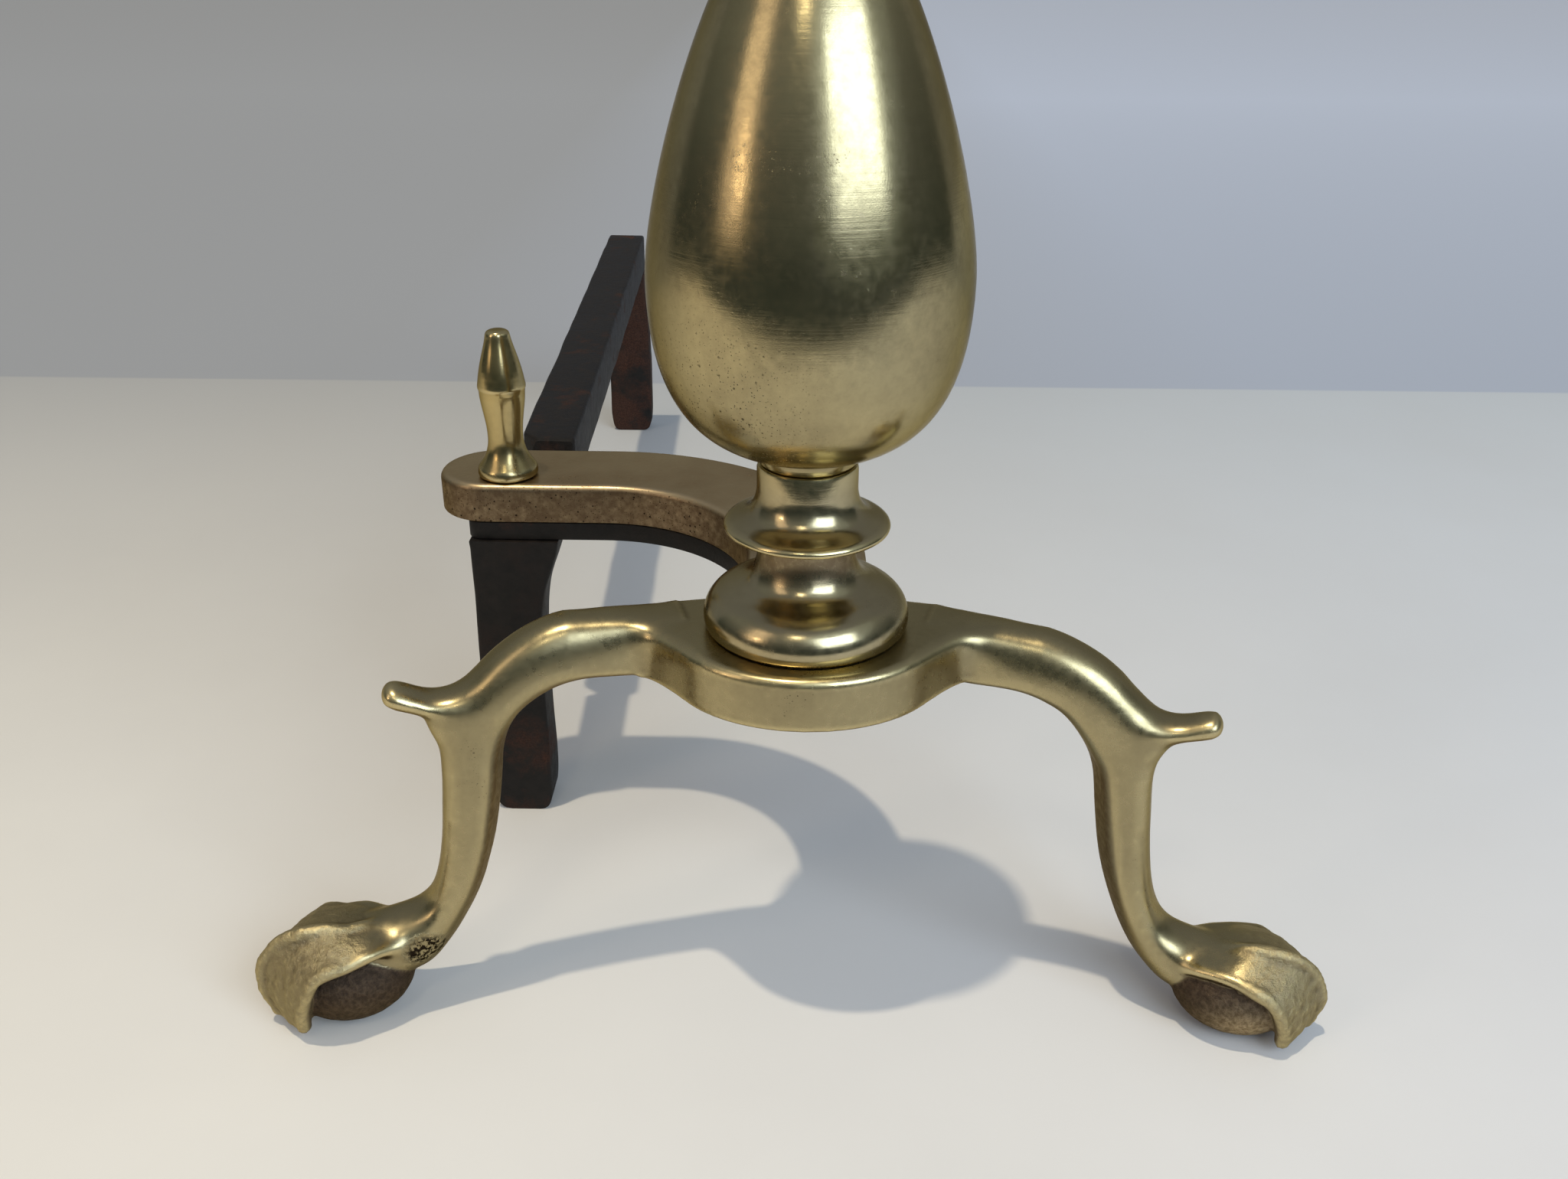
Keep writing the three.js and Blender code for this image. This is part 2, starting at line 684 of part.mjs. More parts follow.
// A domed head and a shank, pointing up from the underside of what it holds.
function headedPin(x, y, seat, top, radius, headRadius, headHeight) {
  const profile = new THREE.Path();
  profile.moveTo(0, -headHeight);
  profile.quadraticCurveTo(headRadius * 0.9, -headHeight, headRadius, 0);
  profile.lineTo(radius, 0);
  profile.lineTo(radius, top - seat);
  profile.lineTo(0, top - seat);
  const geometry = turned(profile, seat, 3, 12);
  geometry.translate(x, y, 0);
  return geometry;
}

["arm_screw_front", "arm_screw_back"].forEach((name, i) => {
  const [x, y] = screwPlaces[i];
  const seat = strapBottom - seatGap;
  const top = armBottom + screwDepth;
  piece(name, headedPin(x, y, seat, top, screwRadius, screwHeadRadius, screwHeadHeight), steel);
});

// ----------------------------------------------------------------------- log stop

const stopBase = armTop + seatGap;
const stopProfile = finialProfile(
  stopBaseRadius,
  stopWaistRadius,
  stopBeltRadius,
  stopTipRadius,
  stopHeight,
  stopHole,
  studGrip + holeClearance,
);
const stop = turned(stopProfile, stopBase, 3, 24);
stop.translate(stopX, stopY, 0);
piece("log_stop_finial", stop, brass);

const ironLegTop = strapBottom - seatGap;
const stud = pin(stopX, stopY, ironLegTop - studDepth, stopBase + studGrip, studRadius, 16);
piece("log_stop_stud", geometryOf(stud), steel);

// ---------------------------------------------------------------- iron legs and bar

// The front iron leg, spread at its head towards the column.
function frontIronLeg() {
  const outer = stopX - ironLegOuter;
  const inner = outer + ironLegWidth;
  const top = ironLegTop;
  const low = top - ironLegHeadDrop;
  const shape = new THREE.Shape();
  shape.moveTo(outer, top);
  shape.bezierCurveTo(outer, top * 0.7, outer - 1.4, top * 0.6, outer - 0.8, top * 0.35);
  shape.lineTo(outer + 0.5, legFootRound);
  shape.quadraticCurveTo(outer + 1.5, 0, outer + legFootRound + 1, 0);
  shape.lineTo(inner - legFootRound - 1, 0);
  shape.quadraticCurveTo(inner - 1.2, 0.6, inner - 0.8, legFootRound * 2);
  shape.lineTo(inner, low - 8);
  shape.bezierCurveTo(inner, low + 6, outer + ironLegHead - 3, top - 9, outer + ironLegHead, top);
  shape.closePath();
  const geometry = new THREE.ExtrudeGeometry(shape, {
    depth: ironLegDepth - 2,
    bevelEnabled: true,
    bevelThickness: 1,
    bevelSize: 1,
    bevelOffset: -1,
    bevelSegments: 1,
    curveSegments: 8,
  });
  geometry.rotateX(Math.PI / 2);
  geometry.translate(0, ironLegFront + ironLegDepth - 1, 0);
  const stem = pin(stopX, stopY, top - studDepth - holeClearance, top + 1, stopHole, 16);
  return solid(geometry).subtract(stem);
}

piece("front_iron_leg", geometryOf(frontIronLeg()), iron);

// The square bar, with its front end drawn down to a tang that laps under the strap.
function logBar() {
  const half = barSize / 2;
  const shape = new THREE.Shape();
  shape.moveTo(half, barStart);
  shape.lineTo(half, barEnd);
  shape.lineTo(-half, barEnd);
  shape.lineTo(-half, barStart + barChamfer);
  shape.lineTo(-half + barChamfer * 0.8, barStart);
  const bar = slab(shape, barBottom, barTop, barEdge, 4);
  const tangLow = tangTop - tangThickness;
  const tang = block(
    [-tangWidth / 2, tangEnd, tangLow],
    [tangWidth / 2, barStart + barChamfer, tangTop],
  );
  const body = new THREE.BufferGeometry().copy(geometryOf(bar.add(tang)));
  body.rotateZ(skew);
  body.translate(barRootX, 0, 0);
  let made = solid(body);
  for (const [x, y] of rivetPlaces) {
    made = made.subtract(pin(x, y, tangLow - 1, tangTop + 1, rivetRadius + holeClearance, 12));
  }
  const tenonY = barEnd - rearLegDepth / 2 - 1;
  const tenonHole = tenonRadius + holeClearance;
  return made.subtract(pin(barX(tenonY), tenonY, barBottom - 1, barTop + 1, tenonHole, 24));
}

piece("log_bar", geometryOf(logBar()), iron);

// The rear leg, with a round tenon riveted over in the bar.
function rearLeg() {
  const tenonY = barEnd - rearLegDepth / 2 - 1;
  const top = barBottom - seatGap;
  const half = rearLegWidth / 2;
  const topHalf = rearLegTopWidth / 2;
  const shape = new THREE.Shape();
  shape.moveTo(-topHalf, top);
  shape.bezierCurveTo(-topHalf, top - rearLegShoulder, -half, top - rearLegShoulder, -half, legFootRound * 3);
  shape.quadraticCurveTo(-half + 0.3, 0.4, -half + legFootRound, 0);
  shape.lineTo(half - legFootRound, 0);
  shape.quadraticCurveTo(half - 0.3, 0.4, half, legFootRound * 3);
  shape.bezierCurveTo(half, top - rearLegShoulder, topHalf, top - rearLegShoulder, topHalf, top);
  shape.closePath();
  const geometry = new THREE.ExtrudeGeometry(shape, {
    depth: rearLegDepth - 2,
    bevelEnabled: true,
    bevelThickness: 1,
    bevelSize: 1,
    bevelOffset: -1,
    bevelSegments: 1,
    curveSegments: 8,
  });
  geometry.rotateX(Math.PI / 2);
  geometry.translate(barX(tenonY), barEnd - 2, 0);
  return solid(geometry).add(pin(barX(tenonY), tenonY, top - 4, barTop, tenonRadius, 24));
}

piece("rear_leg", geometryOf(rearLeg()), rustyIron);

// Rivets that hold the bar's tang to the strap.
["bar_rivet_outer", "bar_rivet_inner"].forEach((name, i) => {
  const [x, y] = rivetPlaces[i];
  const seat = tangTop - tangThickness - seatGap;
  const top = strapTop - seatGap;
  piece(name, headedPin(x, y, seat, top, rivetRadius, rivetHeadRadius, rivetHeadHeight), iron);
});

// ---------------------------------------------------------------------- placement

// The origin is on the floor, under the middle of the andiron's bounding box.
const extent = new THREE.Box3().setFromObject(andiron);
const middle = extent.getCenter(new THREE.Vector3());
andiron.position.set(-middle.x, -middle.y, 0);
const assembly = new THREE.Group();
assembly.add(andiron);

export default assembly;
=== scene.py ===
"""A brass andiron with a vase column, cabriole legs and an iron log bar."""

import math

import bmesh
import bpy
import numpy as np
from mathutils import Matrix, Vector
from mathutils.noise import noise


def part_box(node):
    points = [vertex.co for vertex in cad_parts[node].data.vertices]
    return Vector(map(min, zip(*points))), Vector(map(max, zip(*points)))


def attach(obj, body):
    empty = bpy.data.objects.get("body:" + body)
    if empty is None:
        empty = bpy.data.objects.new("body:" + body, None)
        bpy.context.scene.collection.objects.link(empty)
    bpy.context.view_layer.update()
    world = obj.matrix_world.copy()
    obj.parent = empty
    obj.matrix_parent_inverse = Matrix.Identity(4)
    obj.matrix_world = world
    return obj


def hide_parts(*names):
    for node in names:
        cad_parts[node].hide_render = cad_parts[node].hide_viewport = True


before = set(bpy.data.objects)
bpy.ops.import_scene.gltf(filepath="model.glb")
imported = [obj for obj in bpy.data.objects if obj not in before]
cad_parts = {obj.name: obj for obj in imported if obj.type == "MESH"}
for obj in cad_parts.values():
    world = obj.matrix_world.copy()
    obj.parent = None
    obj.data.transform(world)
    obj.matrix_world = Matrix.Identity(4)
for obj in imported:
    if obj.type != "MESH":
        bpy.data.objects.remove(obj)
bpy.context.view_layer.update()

# ------------------------------------------------------------------ front casting
# The platform and the two cabriole legs are one sand casting in yellow brass, hollow
# under the platform. The faces were filed and polished and are worn soft by a century
# of rubbing; the balls under the claws were left as they came from the sand.

# Everything is measured in millimetres from the middle of the column, on the floor.
vase_low, vase_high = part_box("vase_body")
column_x = (vase_low.x + vase_high.x) / 2
column_y = (vase_low.y + vase_high.y) / 2
platform_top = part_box("front_base")[1].z * 1000
platform_thickness = 14.5
platform_bottom = platform_top - platform_thickness
platform_front = 31
platform_half_width = 36
platform_back = 30
platform_rounding = 2.1
back_corner = math.acos(0.87)
bow_end = 30
sweep_end = 43
leg_splay = math.radians(15.5)
leg_setback = 15
leg_half_depth = 8
leg_overlap = 0.3
rod_hole = 4.8
pocket_radius, pocket_roof = 26, 7
slot_half_width, slot_reach = 14.1, 36
casting_grain = 0.65

brass_yellow = (0.455, 0.37, 0.195)
brass_bright = (0.60, 0.50, 0.27)
brass_tarnish = (0.15, 0.12, 0.075)
# Brown of unpolished faces, also used as painted shade on faces turned from the light.
brass_unpolished_and_shade = (0.15, 0.103, 0.062)
ball_skin = (0.055, 0.04, 0.03)
pit_dirt = (0.03, 0.02, 0.012)


def placed(x, y, z):
    """A point measured from the column's foot, in the andiron's own frame."""
    return Vector((column_x + x / 1000, column_y + y / 1000, z / 1000))


def skin(metal, rings):
    """Skins a closed body over rings of points and closes both ends."""
    loops = [[metal.verts.new(placed(*point)) for point in ring] for ring in rings]
    count = len(loops[0])
    for near, far in zip(loops, loops[1:]):
        for i in range(count):
            j = (i + 1) % count
            metal.faces.new((near[i], near[j], far[j], far[i]))
    metal.faces.new(loops[0][::-1])
    metal.faces.new(loops[-1])


def made(name, metal):
    """Turns worked metal into a named piece with its faces outward."""
    bmesh.ops.recalc_face_normals(metal, faces=metal.faces)
    mesh = bpy.data.meshes.new(name)
    metal.to_mesh(mesh)
    metal.free()
    piece = bpy.data.objects.new(name, mesh)
    bpy.context.scene.collection.objects.link(piece)
    return piece


def settled(piece):
    """Fixes what the modifiers have made as the piece's own mesh."""
    shaped = piece.evaluated_get(bpy.context.evaluated_depsgraph_get())
    mesh = bpy.data.meshes.new_from_object(shaped)
    piece.modifiers.clear()
    piece.data = mesh
    return piece


def through(stations, steps):
    """A smooth run of values through the rows of a table."""
    rows = np.array(stations, float)
    rows = np.vstack([2 * rows[0] - rows[1], rows, 2 * rows[-1] - rows[-2]])
    run = []
    for a, b, c, d in zip(rows, rows[1:], rows[2:], rows[3:]):
        for t in np.arange(steps) / steps:
            run.append(
                0.5 * (2 * b + (c - a) * t + (2 * a - 5 * b + 4 * c - d) * t**2)
                + 0.5 * (3 * b - a - 3 * c + d) * t**3
            )
    run.append(rows[-2])
    return run


def bend(start, pull_1, pull_2, end, steps=12):
    """Points along a bend that leaves towards one pull and arrives from the other."""
    a, b, c, d = (np.array(p, float) for p in (start, pull_1, pull_2, end))
    t = (np.arange(1, steps + 1) / steps)[:, None]
    line = (1 - t) ** 3 * a + 3 * (1 - t) ** 2 * t * b + 3 * (1 - t) * t**2 * c + t**3 * d
    return [tuple(point) for point in line]


def ease(low, high, value):
    """How far a value has come from low to high, starting and ending gently."""
    t = min(1.0, max(0.0, (value - low) / (high - low)))
    return t * t * (3 - 2 * t)


def leg_face(x, side):
    """Front (-1) or back (1) face of a leg in plan."""
    return leg_setback + side * leg_half_depth / math.cos(leg_splay) - x * math.tan(leg_splay)


def platform_plan(inset, z):
    """The platform's outline: a bow, two reverse curves, the legs' roots and a round back."""
    bow, wide, back = platform_front - inset, platform_half_width - inset, platform_back - inset
    turn = math.asin((bow_end - inset) / wide)
    start = (bow_end - inset, -bow * math.cos(turn))
    slope = bow * math.sin(turn) / (wide * math.cos(turn))
    face_x = sweep_end - inset
    face_y = leg_face(face_x, -1) + inset
    reach = (face_y - start[1] + math.tan(leg_splay) * (face_x - start[0])) / (
        slope + math.tan(leg_splay)
    )
    corner = (start[0] + reach, start[1] + slope * reach)
    right = [(wide * math.sin(a), -bow * math.cos(a)) for a in np.linspace(0, turn, 14)]
    pull_1 = tuple(s + (c - s) * 2 / 3 for s, c in zip(start, corner))
    pull_2 = tuple(e + (c - e) * 2 / 3 for e, c in zip((face_x, face_y), corner))
    right += bend(start, pull_1, pull_2, (face_x, face_y), 12)
    root = sweep_end + leg_overlap - inset
    right += [(root, leg_face(root, -1) + inset), (root, leg_face(root, 1) - inset)]
    rear = np.linspace(back_corner, math.pi / 2, 14)
    right += [(back * math.cos(a), back * math.sin(a)) for a in rear]
    left = [(-x, y) for x, y in right[-2:0:-1]]
    return [(x, y, z) for x, y in right + left]


def raised(plan, levels):
    """A plate raised from its plan: each level is an inset and a height."""
    metal = bmesh.new()
    skin(metal, [plan(inset, z) for inset, z in levels])
    return metal


def drum(plan, low, high):
    """A straight-sided cutter that stands on a plan."""
    metal = bmesh.new()
    skin(metal, [[(x, y, z) for x, y in plan] for z in (low, high)])
    return made("cutter", metal)


def cut(piece, *cutters):
    """Cuts the cutters out of the piece and throws them away."""
    for cutter in cutters:
        step = piece.modifiers.new("cut", "BOOLEAN")
        step.operation, step.solver, step.object = "DIFFERENCE", "EXACT", cutter
    settled(piece)
    for cutter in cutters:
        bpy.data.objects.remove(cutter)
    return piece


def circle(radius, count=48, middle=(0, 0)):
    """Points on a circle in plan."""
    angles = np.arange(count) * 2 * math.pi / count
    return [(middle[0] + radius * math.cos(a), middle[1] + radius * math.sin(a)) for a in angles]


platform_edge = sorted(
    [(0.8, platform_bottom), (0.15, platform_bottom + 0.35), (0, platform_bottom + 1)]
    + [
        (platform_rounding * (1 - math.cos(a)), platform_top - platform_rounding * (1 - math.sin(a)))
        for a in np.linspace(0, math.pi / 2, 6)
    ],
    key=lambda level: level[1],
)
front_casting = made("front_casting", raised(platform_plan, platform_edge))
roof = platform_top - pocket_roof
slot = [(x * slot_half_width, y) for x, y in ((-1, 0), (1, 0), (1, slot_reach), (-1, slot_reach))]
cut(
    front_casting,
    drum(circle(pocket_radius), platform_bottom - 2, roof),
    drum(slot, platform_bottom - 3, roof - 0.1),
    drum(circle(rod_hole, 32), platform_bottom - 1, platform_top + 2),
)


def on_leg(side, along, across, z):
    """A point on a leg: side is 1 for the right leg and -1 for the left one."""
    x = along * math.cos(leg_splay) + across * math.sin(leg_splay)
    y = leg_setback - along * math.sin(leg_splay) + across * math.cos(leg_splay)
    return (side * x, y, z)


# The legs were filed by hand and differ. Along each leg: its outer edge, its inner front
# edge and its inner back edge, each as (out, up), half depth, squareness and the crown
# that was filed on the front face.
leg_stations = {
    -1: [
        (34, 113.6, 34, 98.6, 34, 98.6, 7.7, 7, 0.2),
        (44, 114.2, 44, 98.4, 44, 98.4, 7.9, 6, 0.6),
        (55, 115.0, 54, 99.0, 54, 97.5, 8.0, 5, 2.2),
        (65, 114.7, 61, 99.3, 60, 96.0, 8.0, 4.5, 3.2),
        (73.5, 112.0, 67.5, 98.4, 65.5, 93.5, 8.0, 4.2, 3.0),
        (81.5, 107.0, 73.5, 96.0, 70.5, 89.8, 8.0, 4, 2.8),
        (89.5, 100.2, 78.5, 92.2, 75.5, 86.0, 8.0, 4, 2.4),
        (101.4, 91.4, 82.6, 86.8, 79.0, 81.0, 7.9, 4, 1.5),
        (99.0, 82.6, 84.9, 80.5, 81.0, 75.0, 7.8, 4, 0.8),
        (98.9, 73.0, 86.0, 73.0, 81.8, 69.0, 7.7, 4.2, 0.5),
        (99.8, 62.0, 87.9, 62.0, 83.0, 60.0, 7.6, 4.2, 0.5),
        (101.1, 51.0, 90.3, 51.0, 84.8, 50.0, 7.6, 4, 0.5),
        (103.0, 41.8, 92.8, 43.0, 87.2, 41.0, 7.7, 3.8, 0.6),
        (105.6, 35.2, 96.0, 35.8, 90.0, 31.5, 8.0, 3.4, 0.9),
        (110.0, 31.6, 100.0, 29.0, 94.6, 21.5, 8.4, 3.0, 1.4),
        (116.0, 30.2, 104.0, 22.6, 99.8, 14.2, 9.0, 2.8, 2.0),
        (122.0, 29.0, 109.0, 17.0, 105.0, 9.0, 9.4, 2.6, 2.4),
        (130.0, 27.5, 117.0, 13.0, 113.0, 8.0, 9.4, 2.4, 2.4),
    ],
    1: [
        (34, 113.4, 34, 98.4, 34, 98.4, 7.7, 7, 0.2),
        (44, 113.2, 44, 97.2, 44, 97.6, 7.9, 6, 0.6),
        (55, 112.7, 54, 97.0, 54, 97.0, 8.0, 5, 2.2),
        (64, 111.6, 60, 96.5, 59.5, 95.0, 8.0, 4.5, 3.2),
        (72, 109.2, 65.5, 95.1, 64, 91.5, 8.0, 4.2, 3.0),
        (80, 105.0, 71, 92.6, 68.5, 87.0, 8.0, 4, 2.8),
        (87.5, 98.8, 75.5, 88.2, 72.3, 82.0, 8.0, 4, 2.4),
        (98.4, 88.4, 79.5, 82.5, 75.3, 77.3, 7.9, 4, 1.5),
        (95.7, 80.4, 82.3, 78.0, 77.1, 72.3, 7.8, 4, 0.9),
        (95.0, 73.0, 83.7, 72.0, 78.1, 68.0, 7.7, 4, 0.8),
        (95.8, 61.0, 85.4, 61.0, 79.2, 59.0, 7.6, 3.8, 0.8),
        (97.0, 49.5, 87.4, 49.5, 80.9, 48.0, 7.6, 3.6, 0.9),
        (98.7, 39.5, 89.8, 41.0, 83.0, 39.0, 7.7, 3.4, 1.1),
        (101.2, 32.4, 93.0, 33.0, 86.2, 29.0, 8.0, 3.1, 1.5),
        (105.0, 28.0, 97.0, 25.0, 90.2, 19.0, 8.4, 2.8, 2.0),
        (111.0, 26.2, 101.5, 18.5, 95.4, 11.0, 8.8, 2.6, 2.4),
        (117.0, 25.0, 106.5, 13.0, 101.5, 6.5, 9.2, 2.5, 2.4),
        (125.0, 23.5, 114.0, 10.0, 110.0, 6.0, 9.2, 2.4, 2.4),
    ],
}


def leg_rings(side):
    """The leg's sections: squarish near the platform, and filed round over the top below it."""
    rings = []
    for row in through(leg_stations[side], 5):
        outer, front, back = row[0:2], row[2:4], row[4:6]
        depth, square, crown = row[6:]
        ring = []
        for a in np.arange(40) * 2 * math.pi / 40:
            above = min(square, 3.2) + max(0, square - 4.8) * 1.5
            power = 2 / (above if math.sin(a) > 0 else square)
            c = math.copysign(abs(math.cos(a)) ** power, math.cos(a))
            s = math.copysign(abs(math.sin(a)) ** power, math.sin(a))
            rise, behind = (1 + s) / 2, (1 + c) / 2
            inner = front + (back - front) * behind
            out, up = inner + (outer - inner) * rise
            ring.append(on_leg(side, out, c * depth + crown * rise**1.9 * (1 - behind), up))
        rings.append(ring)
    return rings


# The tongue on the knee: middle line (out, up), half height and half width.
tongue_stations = [
    (83, 96.5, 2.4, 5.5),
    (89, 95.6, 3.3, 6.8),
    (95.5, 94.0, 3.5, 6.9),
    (100, 94.5, 3.2, 6.5),
    (104, 96.2, 3.2, 6.0),
    (107, 97.5, 3.3, 5.5),
    (109, 98.3, 3.1, 4.8),
    (110.5, 98.9, 2.4, 3.6),
    (111.3, 99.2, 0.8, 1.2),
]


def tongue_rings(side):
    """The tongue's oval sections; on the right leg it lies lower and droops more."""
    rows = []
    for out, up, high, wide in through(tongue_stations, 3):
        if side > 0:
            up -= 3.6 + 2.2 * ease(88, 110, out)
            out -= 1.2
        rows.append((out, up, high, wide))
    rings = []
    for i, (out, up, high, wide) in enumerate(rows):
        ahead, behind = rows[min(i + 1, len(rows) - 1)], rows[max(i - 1, 0)]
        run, rise = ahead[0] - behind[0], ahead[1] - behind[1]
        length = math.hypot(run, rise)
        ring = []
        for a in np.arange(20) * 2 * math.pi / 20:
            h, w = high * math.sin(a), wide * math.cos(a)
            ring.append(on_leg(side, out - h * rise / length, w, up + h * run / length))
        rings.append(ring)
    return rings


# The claw is a hood of three talons over the ball. Lines of its front lip and of the
# middle talon's crest, as they lie on each foot: out, across and up.
ball_place = {-1: (128.9, 0.0, 13.7), 1: (123.9, -1.2, 13.7)}
ball_size = {-1: (17.2, 13.8), 1: (17.4, 13.8)}
ball_crown = 0.75
hood_length, hood_radius = 23, 17
web_dip, back_web_dip, crest_flush, hood_core = 0.11, 0.09, 1.075, 0.4
front_lip = {
    -1: [
        (109, -5.2, 21),
        (114.5, -7.8, 24.2),
        (120, -10, 25.7),
        (124.5, -11.7, 25.8),
        (129, -13.2, 24.9),
        (133.5, -14.2, 25.0),
        (137.3, -14.4, 23.0),
        (139.6, -13.8, 18.5),
        (141.5, -12.2, 13),
        (142.4, -10.6, 8.0),
        (142.2, -9.2, 3.6),
    ],
    1: [
        (104, -4.6, 18.5),
        (109.5, -7.2, 20.8),
        (114, -9.7, 22.2),
        (119, -11, 22.7),
        (124, -12.6, 22.4),
        (128.5, -13.7, 21.5),
        (132, -14.2, 19.8),
        (134.6, -14, 16.6),
        (136.6, -12.7, 11.5),
        (137.4, -11.4, 7.4),
        (137.2, -10.2, 3.4),
    ],
}
middle_crest = {
    -1: [
        (109, 0, 25),
        (116, -1, 28.4),
        (122, -2, 29.6),
        (128, -3.8, 30.3),
        (134.4, -4, 32.2),
        (140.5, -3.5, 31.4),
        (145.8, -2, 29.4),
        (150.3, -0.8, 25),
        (153, 0, 19.5),
        (153.2, -0.3, 12.5),
        (150.0, -1.2, 3.6),
    ],
    1: [
        (103, 0, 21.5),
        (110, -0.5, 23.4),
        (116, -1.4, 24.6),
        (121.5, -3.2, 26.4),
        (127.1, -4.2, 28.6),
        (133, -4, 28.1),
        (138.8, -3.2, 27.2),
        (142.8, -1.6, 24),
        (146, -0.3, 19),
        (147.4, 0, 12.5),
        (144.4, -1.2, 3.6),
    ],
}
lip_thickness = [2.0, 2.1, 2.0, 2.0, 1.8, 2.2, 1.9, 1.8, 1.9, 2.1, 2.0]


def back_lip(side):
    """The claw's back lip mirrors the front one and lies a little lower."""
    return [(out, -across, up - 0.9) for out, across, up in front_lip[side]]


def talon_rings(side, line, sunk):
    """A round ridge along a talon, sunk a little way towards the ball."""
    rows = through([(*p, r) for p, r in zip(line, lip_thickness)], 3)
    heart = np.array(ball_place[side])
    path = [Vector(on_leg(side, *(heart + (row[:3] - heart) * sunk))) for row in rows]
    rings = []
    for i, (middle, row) in enumerate(zip(path, rows)):
        along = (path[min(i + 1, len(path) - 1)] - path[max(i - 1, 0)]).normalized()
        outward = (middle - Vector(on_leg(side, *heart))).normalized()
        across = along.cross(outward).normalized()
        outward = across.cross(along)
        rings.append(
            [
                tuple(middle + across * (row[3] * math.cos(a)) + outward * (row[3] * math.sin(a)))
                for a in np.arange(14) * 2 * math.pi / 14
            ]
        )
    return rings


def hood_rings(side):
    """The skin from the front lip over the middle crest to the back lip."""
    heart, size = np.array(ball_place[side]), np.array((hood_length, hood_radius, hood_radius))
    edges = (front_lip[side], middle_crest[side], back_lip(side))
    lines = [(np.array(through(line, 3)) - heart) / size for line in edges]
    rings = []
    for i, (front, crest, back) in enumerate(zip(*lines)):
        share = i / (len(lines[0]) - 1)
        dip = web_dip * ease(0.3, 0.6, share) * (1 - 0.8 * ease(0.75, 1, share))
        ring = [crest * hood_core]
        for a, b, hollow in ((front, crest, dip), (crest, back, max(dip, back_web_dip))):
            for t in np.linspace(0, 1, 10)[: 9 if b is crest else 10]:
                reach = np.linalg.norm(a) * (1 - t) + np.linalg.norm(b) * t
                point = a * (1 - t) + b * t
                lip = t if b is crest else 1 - t
                flush = crest_flush - (crest_flush - 1) * ease(0, 0.8, lip)
                flush -= hollow * math.sin(math.pi * t)
                point *= reach / np.linalg.norm(point) * flush
                ring.append(point)
        rings.append([on_leg(side, *(heart + point * size)) for point in ring])
    return rings


casting = bmesh.new()
casting.from_mesh(front_casting.data)
for side in (-1, 1):
    skin(casting, leg_rings(side))
    skin(casting, tongue_rings(side))
    skin(casting, hood_rings(side))
    skin(casting, talon_rings(side, front_lip[side], 1.0))
    skin(casting, talon_rings(side, middle_crest[side], 0.94))
    skin(casting, talon_rings(side, back_lip(side), 1.0))
    egg = bmesh.ops.create_icosphere(casting, subdivisions=5, radius=1)
    half_length, radius = ball_size[side]
    for vertex in egg["verts"]:
        along, across, up = vertex.co
        place = (half_length * along, radius * across, radius * up * (ball_crown if up > 0 else 1))
        vertex.co = placed(*on_leg(side, *(p + o for p, o in zip(ball_place[side], place))))
bpy.data.objects.remove(front_casting)
front_casting = made("front_casting", casting)
melt = front_casting.modifiers.new("melt", "REMESH")
melt.mode, melt.voxel_size = "VOXEL", casting_grain / 1000
soften = front_casting.modifiers.new("soften", "SMOOTH")
soften.factor, soften.iterations = 0.5, 5
settled(front_casting)


def points_of(piece):
    """The piece's points in metres."""
    points = np.empty(len(piece.data.vertices) * 3)
    piece.data.vertices.foreach_get("co", points)
    return points.reshape(-1, 3)


def leans_of(piece):
    """The way the surface looks at each point."""
    leans = np.empty(len(piece.data.vertices) * 3)
    piece.data.vertex_normals.foreach_get("vector", leans)
    return leans.reshape(-1, 3)


def neighbours(piece):
    """The two ends of every edge, and how many edges meet at each point."""
    ends = np.empty(len(piece.data.edges) * 2, int)
    piece.data.edges.foreach_get("vertices", ends)
    a, b = ends.reshape(-1, 2).T
    count = len(piece.data.vertices)
    return a, b, np.bincount(a, minlength=count) + np.bincount(b, minlength=count)


def on_legs(points):
    """Where points lie on their leg: side, out, across and up, in millimetres."""
    local = (points - np.array((column_x, column_y, 0))) * 1000
    away = local[:, 1] - leg_setback
    out = np.abs(local[:, 0]) * math.cos(leg_splay) - away * math.sin(leg_splay)
    across = np.abs(local[:, 0]) * math.sin(leg_splay) + away * math.cos(leg_splay)
    return np.where(local[:, 0] < 0, -1, 1), out, across, local[:, 2]


def mark(piece, name, values):
    """Marks every point of a piece with a value between 0 and 1."""
    piece.data.attributes.new(name, "FLOAT", "POINT").data.foreach_set(
        "value", np.asarray(values, np.float32)
    )


def mark_wear(piece, rounds=3, reach=7.0):
    """Marks the proud edges, which are rubbed bright, and the hollows, which stay dark."""
    points, leans = points_of(piece) * 1000, leans_of(piece)
    a, b, count = neighbours(piece)
    gap = points[b] - points[a]
    square = np.maximum((gap**2).sum(1), 1e-6)
    bulge = np.bincount(a, -(leans[a] * gap).sum(1) / square, len(points))
    bulge += np.bincount(b, (leans[b] * gap).sum(1) / square, len(points))
    bulge /= np.maximum(count, 1)
    for _ in range(rounds):
        spread = np.bincount(a, bulge[b], len(points)) + np.bincount(b, bulge[a], len(points))
        bulge = 0.5 * bulge + 0.5 * spread / np.maximum(count, 1)
    mark(piece, "proud", np.clip(bulge * reach, 0, 1))
    mark(piece, "hollow", np.clip(-bulge * reach, 0, 1))


